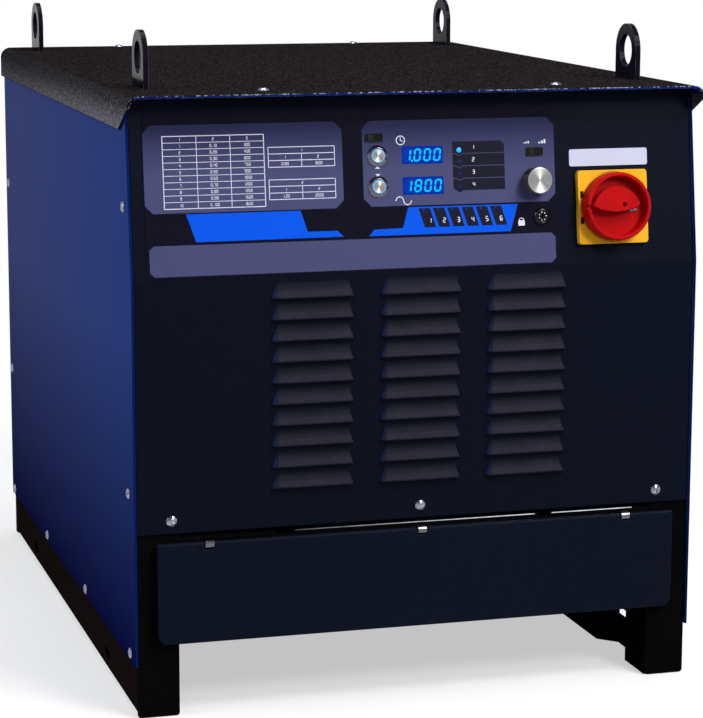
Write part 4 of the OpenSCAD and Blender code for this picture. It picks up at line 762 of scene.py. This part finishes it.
# The two small tables beside it: a heading over two columns with a number and a figure each
SMALL_X0, SMALL_MID, SMALL_X1 = -177.2, -138.4, -99.7
SMALL_COLUMNS = (-157.8, -119.0)
SMALL_TABLES = ((122.8, 145.3, "1", ("0.80", "1600")), (86.4, 108.6, "2", ("1.20", "2000")))
for u0, u1, heading, figures in SMALL_TABLES:
    step = (u1 - u0) / 3
    for i in range(4):
        stroke(bm, (SMALL_X0, u0 + step * i), (SMALL_X1, u0 + step * i), SMALL_LINE, *LINE)
    for x in (SMALL_X0, SMALL_X1):
        stroke(bm, (x, u0), (x, u1), SMALL_LINE, *LINE)
    stroke(bm, (SMALL_MID, u0), (SMALL_MID, u0 + step * 2), COLUMN_LINE, *LINE)
    number(bm, heading, SMALL_MID, u1 - step / 2, FIGURE_H, *LINE)
    for x, column, figure in zip(SMALL_COLUMNS, ("1", "2"), figures):
        number(bm, column, x, u1 - 1.5 * step, FIGURE_H, *LINE)
        number(bm, figure, x, u0 + step / 2, FIGURE_H, *LINE)

# A clock for the upper display and a wave for the lower one
CLOCK_X, CLOCK_U, CLOCK_R, CLOCK_LINE = -21, 149.5, 5.0, 1.0
CLOCK_HANDS, HAND_LINE = ((0, 3.3), (2.4, -1.2)), 0.9
WAVE_X, WAVE_U, WAVE_R, WAVE_LINE = -24, 80.5, 4.6, 1.1
ring(bm, CLOCK_X, CLOCK_U, CLOCK_R, CLOCK_LINE, *LINE)
for dx, du in CLOCK_HANDS:
    stroke(bm, (CLOCK_X, CLOCK_U), (CLOCK_X + dx, CLOCK_U + du), HAND_LINE, *LINE)
ring(bm, WAVE_X, WAVE_U, WAVE_R, WAVE_LINE, *LINE, 0, 180)
ring(bm, WAVE_X + 2 * WAVE_R, WAVE_U, WAVE_R, WAVE_LINE, *LINE, 180, 360)


def bars(bm, x, u, width, pitch, height, growth):
    """Three bars that grow to the right."""
    for k in range(3):
        at = x + k * pitch
        prism(bm, rectangle(at, at + width, u, u + height + k * growth), *LINE)


# Small and large steps for the range rocker, a padlock for the lock and two arrows between the buttons
PADLOCK_X, PADLOCK_U, PADLOCK_W, PADLOCK_H, PADLOCK_CORNER = 122.6, 47.5, 8.0, 6.1, 1.0
SHACKLE_R, SHACKLE_LINE = 2.7, 0.9
ARROW_UP_U, ARROW_DOWN_U, ARROW_SIZE = 117.9, 111.8, 3.0
bars(bm, x=128.0, u=142.4, width=1.6, pitch=2.6, height=1.2, growth=0.8)
bars(bm, x=146.5, u=142.0, width=2.2, pitch=3.2, height=1.8, growth=1.4)
x0, x1, shackle_u = PADLOCK_X - PADLOCK_W / 2, PADLOCK_X + PADLOCK_W / 2, PADLOCK_U + PADLOCK_H
prism(bm, rounded(x0, x1, PADLOCK_U, shackle_u, PADLOCK_CORNER), *LINE)
ring(bm, PADLOCK_X, shackle_u, SHACKLE_R, SHACKLE_LINE, *LINE, 0, 180)
for way, u in ((1, ARROW_UP_U), (-1, ARROW_DOWN_U)):
    arrow = [(BUTTON_X - ARROW_SIZE, u), (BUTTON_X + ARROW_SIZE, u), (BUTTON_X, u + way * ARROW_SIZE)]
    prism(bm, arrow[::way], *LINE)
overlay_piece("overlay_white_print", bm, "white_print")

# Menu list with its pointed separators
MENU_X0, MENU_X1, MENU_TOP, MENU_STEP, MENU_ROWS = 41.0, 104.0, 146.6, 14.25, 4
MENU_GAP, MENU_CHAMFER, MENU_FOOT_RISE = 0.9, 4, 2.5
LAMP_X, NOTCH_W, NOTCH_H = 49.0, 4.5, 2.4
bm = bmesh.new()
for r in range(MENU_ROWS):
    top, low = MENU_TOP - r * MENU_STEP, MENU_TOP - (r + 1) * MENU_STEP + MENU_GAP
    if r == 0:
        crest = [(MENU_X0, top), (MENU_X1 - MENU_CHAMFER, top), (MENU_X1, top - MENU_CHAMFER)]
    else:
        crest = [(MENU_X0, top), (LAMP_X - NOTCH_W, top), (LAMP_X, top - NOTCH_H), (LAMP_X + NOTCH_W, top),
                 (MENU_X1, top)]
    rise = MENU_FOOT_RISE if r == MENU_ROWS - 1 else 0
    foot = [(MENU_X1, low), (LAMP_X + NOTCH_W, low), (LAMP_X, low - NOTCH_H), (LAMP_X - NOTCH_W, low),
            (MENU_X0, low + rise)]
    prism(bm, (crest + foot)[::-1], *LINE)

# Slanted windows of the status row, at an even pitch
STATUS_WINDOW = [(-2.1, 71.4), (5.2, 49.3), (18.6, 49.3), (11.7, 71.4)]
STATUS_PITCH, STATUS_COUNT = 17.3, 6
for k in range(STATUS_COUNT):
    prism(bm, [(x + k * STATUS_PITCH, u) for x, u in STATUS_WINDOW], *LINE)
overlay_piece("overlay_dark_print", bm, "dark_print")

# Plain numbers of the menu's rows and of the status windows
MENU_NUMBER_X, MENU_NUMBER_RISE, MENU_NUMBER_H = 66.0, 0.4, 5.0
STATUS_NUMBER_X, STATUS_NUMBER_U, STATUS_NUMBER_H = 11.4, 57.0, 6.0
bm = bmesh.new()
for r in range(MENU_ROWS):
    u = MENU_TOP - (r + 0.5) * MENU_STEP + MENU_NUMBER_RISE
    number(bm, str(r + 1), MENU_NUMBER_X, u, MENU_NUMBER_H, *MARK)
for k in range(STATUS_COUNT):
    x = STATUS_NUMBER_X + k * STATUS_PITCH
    number(bm, str(k + 1), x, STATUS_NUMBER_U, STATUS_NUMBER_H, *MARK)
overlay_piece("overlay_numbers", bm, "white_print")


def lamp(name, x, u, r, material):
    """A small domed indicator lamp on the print."""
    z = FILM + 0.1
    profile = [(0, z), (r * 1.12, z), (r * 1.12, z + 0.12), (r, z + 0.16), (r * 0.8, z + r * 0.26),
               (r * 0.45, z + r * 0.38), (0, z + r * 0.42)]
    piece(name, turned(profile, steps=32), material, "cabinet", lean_matrix(x, u))


# Indicator lamps: one for each row of the menu, the first one lit, and one for each status window
MENU_LAMPS_U, LIT_LAMP_R, MENU_LAMP_R = (136.8, 122.7, 108.3, 93.7), 2.5, 2.2
STATUS_LAMP_X, STATUS_LAMP_U, STATUS_LAMP_R = 3.6, 68.3, 1.7
for r, u in enumerate(MENU_LAMPS_U):
    radius, material = (MENU_LAMP_R, "lamp_off") if r else (LIT_LAMP_R, "lamp_lit")
    lamp("menu_lamp_%d" % (r + 1), LAMP_X, u, radius, material)
for k in range(STATUS_COUNT):
    x = STATUS_LAMP_X + k * STATUS_PITCH
    lamp("status_lamp_%d" % (k + 1), x, STATUS_LAMP_U, STATUS_LAMP_R, "lamp_off")

# Displays: lit and dark segments on the windows, with a lit point after the first figure of the time
DIGIT_W, DIGIT_H, DIGIT_LINE, DIGIT_PITCH, DIGIT_SLANT = 6.6, 12.6, 2.1, 11.9, 0.14
POINT_DX, POINT_DU, LIT_POINT_R, DARK_POINT_R = 5.2, -6.4, 1.15, 1.0
LIT_LAYER, DARK_LAYER = (FILM - 0.02, FILM + 0.1), (FILM - 0.02, FILM + 0.06)
for name, u, text in (("time", TIME_U, "1000"), ("amps", AMPS_U, "1800")):
    lit_bm, dark_bm = bmesh.new(), bmesh.new()
    for k, c in enumerate(text):
        x = DISPLAY_X + (k - 1.5) * DIGIT_PITCH
        shape = (x, u, DIGIT_W, DIGIT_H, DIGIT_LINE, DIGIT_SLANT)
        dark = [s for s in "abcdefg" if s not in SEGMENTS[c]]
        digit(lit_bm, *shape, SEGMENTS[c], *LIT_LAYER)
        digit(dark_bm, *shape, dark, *DARK_LAYER)
        if k == 0 and name == "time":
            prism(lit_bm, disc(x + POINT_DX, u + POINT_DU, LIT_POINT_R, n=14), *LIT_LAYER)
        else:
            prism(dark_bm, disc(x + POINT_DX, u + POINT_DU, DARK_POINT_R, n=14), *DARK_LAYER)
    piece(name + "_segments_lit", lit_bm, "segment_lit", "cabinet", smooth=0)
    piece(name + "_segments_dark", dark_bm, "segment_ghost", "cabinet", smooth=0)

# Push buttons: a spun, dished face on each cap and a glowing ring round it
FACE_R, RING_R = 6.8, 7.84
for name, u in (("time", TIME_U), ("amps", AMPS_U)):
    body = name + "_button"
    face = turned([(0, CAP_TOP - 0.56), (FACE_R - 0.3, CAP_TOP - 0.02), (FACE_R, CAP_TOP + 0.04),
                   (FACE_R, CAP_TOP - 0.3), (0, CAP_TOP - 0.9)], steps=72)
    piece(body + "_face", face, "spun_aluminium", body, lean_matrix(BUTTON_X, u))
    glow = turned([(FACE_R, CAP_TOP - 0.3), (RING_R - 0.14, CAP_TOP - 0.8), (RING_R, CAP_TOP - 0.72),
                   (FACE_R + 0.3, CAP_TOP + 0.04), (FACE_R, CAP_TOP + 0.05), (FACE_R, CAP_TOP - 0.3)],
                  steps=72)
    piece(body + "_ring", glow, "ring_lit", body, lean_matrix(BUTTON_X, u))

# Dial: turned knob with a hollow for the shaft, fine grooves round its rim and a dished face
DIAL_FOOT, DIAL_HOLLOW_R, DIAL_HOLLOW_TOP = FILM + 1.8, 8.4, DIAL_TOP - 4.2
GROOVES, GROOVE_FOOT, GROOVE_PITCH, GROOVE_DEPTH = 8, FILM + 3.4, 1.5, 0.3
profile = [(0, DIAL_HOLLOW_TOP), (DIAL_HOLLOW_R, DIAL_HOLLOW_TOP), (DIAL_HOLLOW_R, DIAL_FOOT),
           (DIAL_R - 1, DIAL_FOOT), (DIAL_R - 0.4, DIAL_FOOT + 0.3), (DIAL_R, DIAL_FOOT + 1.0)]
for i in range(GROOVES):
    z = GROOVE_FOOT + i * GROOVE_PITCH
    profile += [(DIAL_R, z), (DIAL_R - GROOVE_DEPTH, z + 0.35), (DIAL_R - GROOVE_DEPTH, z + 0.75),
                (DIAL_R, z + 1.1)]
profile += [(DIAL_R, DIAL_TOP - 1.3), (DIAL_R - 0.2, DIAL_TOP - 0.6), (DIAL_R - 0.7, DIAL_TOP - 0.15),
            (DIAL_R - 1.4, DIAL_TOP), (DIAL_R - 2.6, DIAL_TOP), (DIAL_R - 3.1, DIAL_TOP - 0.25),
            (0, DIAL_TOP - 0.75)]
knob = piece("dial_turned_knob", turned(profile, steps=96), "spun_aluminium", "dial",
             lean_matrix(DIAL_X, DIAL_U))
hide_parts("dial_knob")

# Bare label plate above the isolator
LABEL = (184.0, 281.5, 114.3, 134.1)
LABEL_CORNER, LABEL_LAYER = 2.6, (-0.05, 0.35)
bm = bmesh.new()
prism(bm, rounded(*LABEL, LABEL_CORNER), *LABEL_LAYER)
overlay_piece("bare_label_plate", bm, "label_white")

# Key lock: dark collar round the keyway and bright pins in it
COLLAR_IN, COLLAR_OUT = 6.2, 8.2
PIN_CIRCLE, PIN_R, PIN_STEP = 4.4, 0.75, 51
collar = turned([(COLLAR_IN, LOCK_FACE - 0.2), (COLLAR_OUT, LOCK_FACE - 0.2),
                 (COLLAR_OUT, LOCK_FACE + 0.12), (COLLAR_OUT - 0.6, LOCK_FACE + 0.3),
                 (COLLAR_IN + 0.4, LOCK_FACE + 0.3), (COLLAR_IN, LOCK_FACE + 0.1),
                 (COLLAR_IN, LOCK_FACE - 0.2)], steps=56)
piece("key_lock_collar", collar, "dark_metal", "cabinet", lean_matrix(LOCK_X, LOCK_U))
pins = bmesh.new()
for degrees in range(0, 360, PIN_STEP):
    a = math.radians(degrees)
    pin = disc(LOCK_X + PIN_CIRCLE * math.cos(a), LOCK_U + PIN_CIRCLE * math.sin(a), PIN_R, n=12)
    prism(pins, pin, LOCK_FACE - 0.7, LOCK_FACE - 0.3)
piece("key_lock_pins", pins, "chrome_bit", "key_barrel", smooth=0)

# Isolator: metal tongue of the padlock slide in the handle's dish, measured from the handle's axis
TONGUE = [(17.0, -6.6), (26.0, -6.0), (28.5, -3.6), (25.5, -3.0), (22.0, -3.8), (17.5, -4.4)]
TONGUE_LAYER, TONGUE_ROUND = (13.9, 15.4), 0.0002
bm = bmesh.new()
prism(bm, [(ISOLATOR_X + x, ISOLATOR_U + u) for x, u in TONGUE], *TONGUE_LAYER)
bmesh.ops.bevel(bm, geom=bm.edges[:], offset=TONGUE_ROUND, segments=2, affect="EDGES")
piece("isolator_padlock_tongue", bm, "stainless", "isolator")

# Isolator: dark backs of the two padlock slots in its plate: painted shade for the slots' dark depth
SLOT_INSET, SLOT_W, SLOT_H, SLOT_OFF, SLOT_CORNER = 2.3, 4.4, 7.8, 15.0, 0.6
SLOT_DEPTH, SLOT_SHADE = 3.0, 0.8
x0, face_z = ISOLATOR_PLATE[0][0] + SLOT_INSET, ISOLATOR_PLATE[2][1]
bm = bmesh.new()
for u in (ISOLATOR_U - SLOT_OFF, ISOLATOR_U + SLOT_OFF):
    outline = rounded(x0, x0 + SLOT_W, u - SLOT_H / 2, u + SLOT_H / 2, SLOT_CORNER)
    prism(bm, outline, face_z - SLOT_DEPTH, face_z - SLOT_SHADE)
piece("isolator_slot_backs", bm, "black_plastic", "cabinet", smooth=0)

# Bright metal strip on the cross member, a painted highlight along its bend, seen through the gap over the flap,
# in two lengths, in metres
STRIP_Z, STRIP_H, STRIP_T, STRIP_ROUND, STRIP_SUNK = 0.2100, 0.0011, 0.0010, 0.0005, 0.0001
STRIP_LENGTHS = ((-0.151, 0.143), (0.164, 0.266))
back_y = round(CROSS_Y, 5) + STRIP_SUNK
bm = bmesh.new()
for x0, x1 in STRIP_LENGTHS:
    front, back = [], []
    for x, z in rounded(x0, x1, STRIP_Z, STRIP_Z + STRIP_H, STRIP_ROUND):
        front.append(bm.verts.new((x, back_y - STRIP_T, z)))
        back.append(bm.verts.new((x, back_y, z)))
    bm.faces.new(front)
    bm.faces.new(back[::-1])
    for i, vert in enumerate(front):
        j = (i + 1) % len(front)
        bm.faces.new((vert, back[i], back[j], front[j]))
piece("hinge_gap_highlight", bm, "strip_steel", "cabinet", smooth=0)

# Weld sockets: brass contact ring at each mouth
CONTACT_IN, CONTACT_OUT = 6.5, 9.4
for name in ("gun", "ground"):
    face = turned([(CONTACT_IN, -0.3), (CONTACT_OUT, -0.3), (CONTACT_OUT, 0.25), (CONTACT_OUT - 0.4, 0.45),
                   (CONTACT_IN + 0.4, 0.45), (CONTACT_IN, 0.2), (CONTACT_IN, -0.3)], steps=56)
    low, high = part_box("weld_socket_" + name)
    mouth = (round(middle((low.x, high.x)), 4), round(low.y, 6), round(middle((low.z, high.z)), 4))
    turn = Matrix.Translation(mouth) @ Matrix.Rotation(math.radians(90), 4, "X")
    piece("weld_contact_" + name, face, "brass", "cabinet", turn)


# Floor, world, lamps and camera

WHITE = (1.0, 1.0, 1.0)
FLOOR_RADIUS, FLOOR_DROP, FLOOR_FADE = 70, 0.0005, (0.7, 1.9)


def seen_rays(tree):
    """One for rays that show the backdrop or its mirror image, and nought for those that only light."""
    path = tree.nodes.new("ShaderNodeLightPath")
    last = path.outputs["Is Camera Ray"]
    for other in ("Is Glossy Ray", "Is Transmission Ray"):
        node = tree.nodes.new("ShaderNodeMath")
        node.operation = "MAXIMUM"
        tree.links.new(last, node.inputs[0])
        tree.links.new(path.outputs[other], node.inputs[1])
        last = node.outputs[0]
    return last


def ground():
    """Pale paper: it catches the shadow near the part, fades to white far off and lights little."""
    bm = bmesh.new()
    bmesh.ops.create_circle(bm, cap_ends=True, segments=128, radius=FLOOR_RADIUS)
    mesh = bpy.data.meshes.new("floor")
    bm.to_mesh(mesh)
    bm.free()
    ob = bpy.data.objects.new("floor", mesh)
    bpy.context.scene.collection.objects.link(ob)
    t = Tree("floor_paper")
    near = t.tint(t.noise(3, 3), (0.37, 0.37, 0.38), (0.40, 0.40, 0.41))
    length = t.new("ShaderNodeVectorMath", operation="LENGTH")
    t.link(t.coord, length.inputs[0])
    far = t.span(length.outputs["Value"], over=FLOOR_FADE)
    seen = seen_rays(t.tree)
    paper = t.mix(seen, (0.30, 0.30, 0.31), t.mix(far, near, (0.0, 0.0, 0.0)))
    glow = t.times(seen, t.span(far, (0.54, 1.0), (0.0, 1.0)))
    mesh.materials.append(t.put(color=paper, rough=0.9, spec=0.0, glow=WHITE, glow_strength=glow))
    ob.location.z = -FLOOR_DROP


def sky():
    """Even soft light, seen as white at the horizon and as a darker studio ceiling above."""
    world = bpy.data.worlds.new("studio")
    bpy.context.scene.world = world
    world.use_nodes = True
    t = world.node_tree
    t.nodes.clear()
    out, mix = t.nodes.new("ShaderNodeOutputWorld"), t.nodes.new("ShaderNodeMixShader")
    soft, seen = t.nodes.new("ShaderNodeBackground"), t.nodes.new("ShaderNodeBackground")
    soft.inputs["Color"].default_value = (0.92, 0.95, 1.0, 1)
    soft.inputs["Strength"].default_value = 0.32
    coord, split = t.nodes.new("ShaderNodeTexCoord"), t.nodes.new("ShaderNodeSeparateXYZ")
    t.links.new(coord.outputs["Generated"], split.inputs[0])
    ramp = t.nodes.new("ShaderNodeValToRGB")
    horizon, ceiling = ramp.color_ramp.elements
    horizon.position, horizon.color = 0.22, (*WHITE, 1)
    ceiling.position, ceiling.color = 0.60, (0.10, 0.11, 0.14, 1)
    t.links.new(split.outputs[2], ramp.inputs[0])
    t.links.new(ramp.outputs[0], seen.inputs["Color"])
    seen.inputs["Strength"].default_value = 1.0
    t.links.new(seen_rays(t), mix.inputs[0])
    t.links.new(soft.outputs[0], mix.inputs[1])
    t.links.new(seen.outputs[0], mix.inputs[2])
    t.links.new(mix.outputs[0], out.inputs[0])


def softbox(name, place, target, side, power, tint=WHITE):
    """A square studio lamp at a place, turned towards a target."""
    light = bpy.data.lights.new(name, "AREA")
    light.shape, light.size, light.size_y = "RECTANGLE", side, side
    light.energy, light.color = power, tint
    ob = bpy.data.objects.new(name, light)
    ob.location = place
    ob.rotation_euler = (Vector(target) - Vector(place)).to_track_quat("-Z", "Y").to_euler()
    bpy.context.scene.collection.objects.link(ob)


# The photograph's camera, fitted to the front panel: its angles in radians, its place in metres, with its
# depth from the panel's face, and its focal length and shift in pixels of a picture of this height
AZIMUTH, ELEVATION, ROLL = -0.281857, 0.180305, 0.0028013
CAMERA_X, CAMERA_OFF, CAMERA_Z = -0.890124, -2.779676, 0.935395
FOCAL_PX, SHIFT_PX, PICTURE_PX, SENSOR = 2568.0, 1.1, 718, 36.0


def camera():
    sin_az, cos_az = math.sin(AZIMUTH), math.cos(AZIMUTH)
    fwd = Vector((-sin_az * math.cos(ELEVATION), cos_az * math.cos(ELEVATION), -math.sin(ELEVATION)))
    level = Vector((cos_az, sin_az, 0))
    up = level.cross(fwd)
    right = level * math.cos(ROLL) + up * math.sin(ROLL)
    top = up * math.cos(ROLL) - level * math.sin(ROLL)
    data = bpy.data.cameras.new("camera")
    data.sensor_fit, data.sensor_height, data.sensor_width = "VERTICAL", SENSOR, SENSOR
    data.lens = FOCAL_PX * SENSOR / PICTURE_PX
    data.shift_x = SHIFT_PX / PICTURE_PX
    data.clip_end = 100
    ob = bpy.data.objects.new("camera", data)
    m = Matrix((right, top, -fwd)).transposed().to_4x4()
    m.translation = (CAMERA_X, FRONT_Y + CAMERA_OFF, CAMERA_Z)
    ob.matrix_world = m
    bpy.context.scene.collection.objects.link(ob)
    bpy.context.scene.camera = ob


ground()
sky()
softbox("key", place=(1.4, -2.1, 3.1), target=(0.0, -0.4, 0.45), side=1.1, power=84)
softbox("front", place=(1.16, -3.06, 2.25), target=(0.05, -0.46, 0.35), side=0.8, power=68,
        tint=(1.0, 0.93, 0.86))
softbox("side_fill", place=(-3.0, -0.7, 2.3), target=(-0.3, 0.0, 0.5), side=1.5, power=62,
        tint=(0.93, 0.96, 1.0))
softbox("top", place=(0.1, 0.5, 3.2), target=(0.0, 0.1, 0.6), side=1.8, power=60)
camera()
bpy.context.scene.view_settings.view_transform = "Standard"
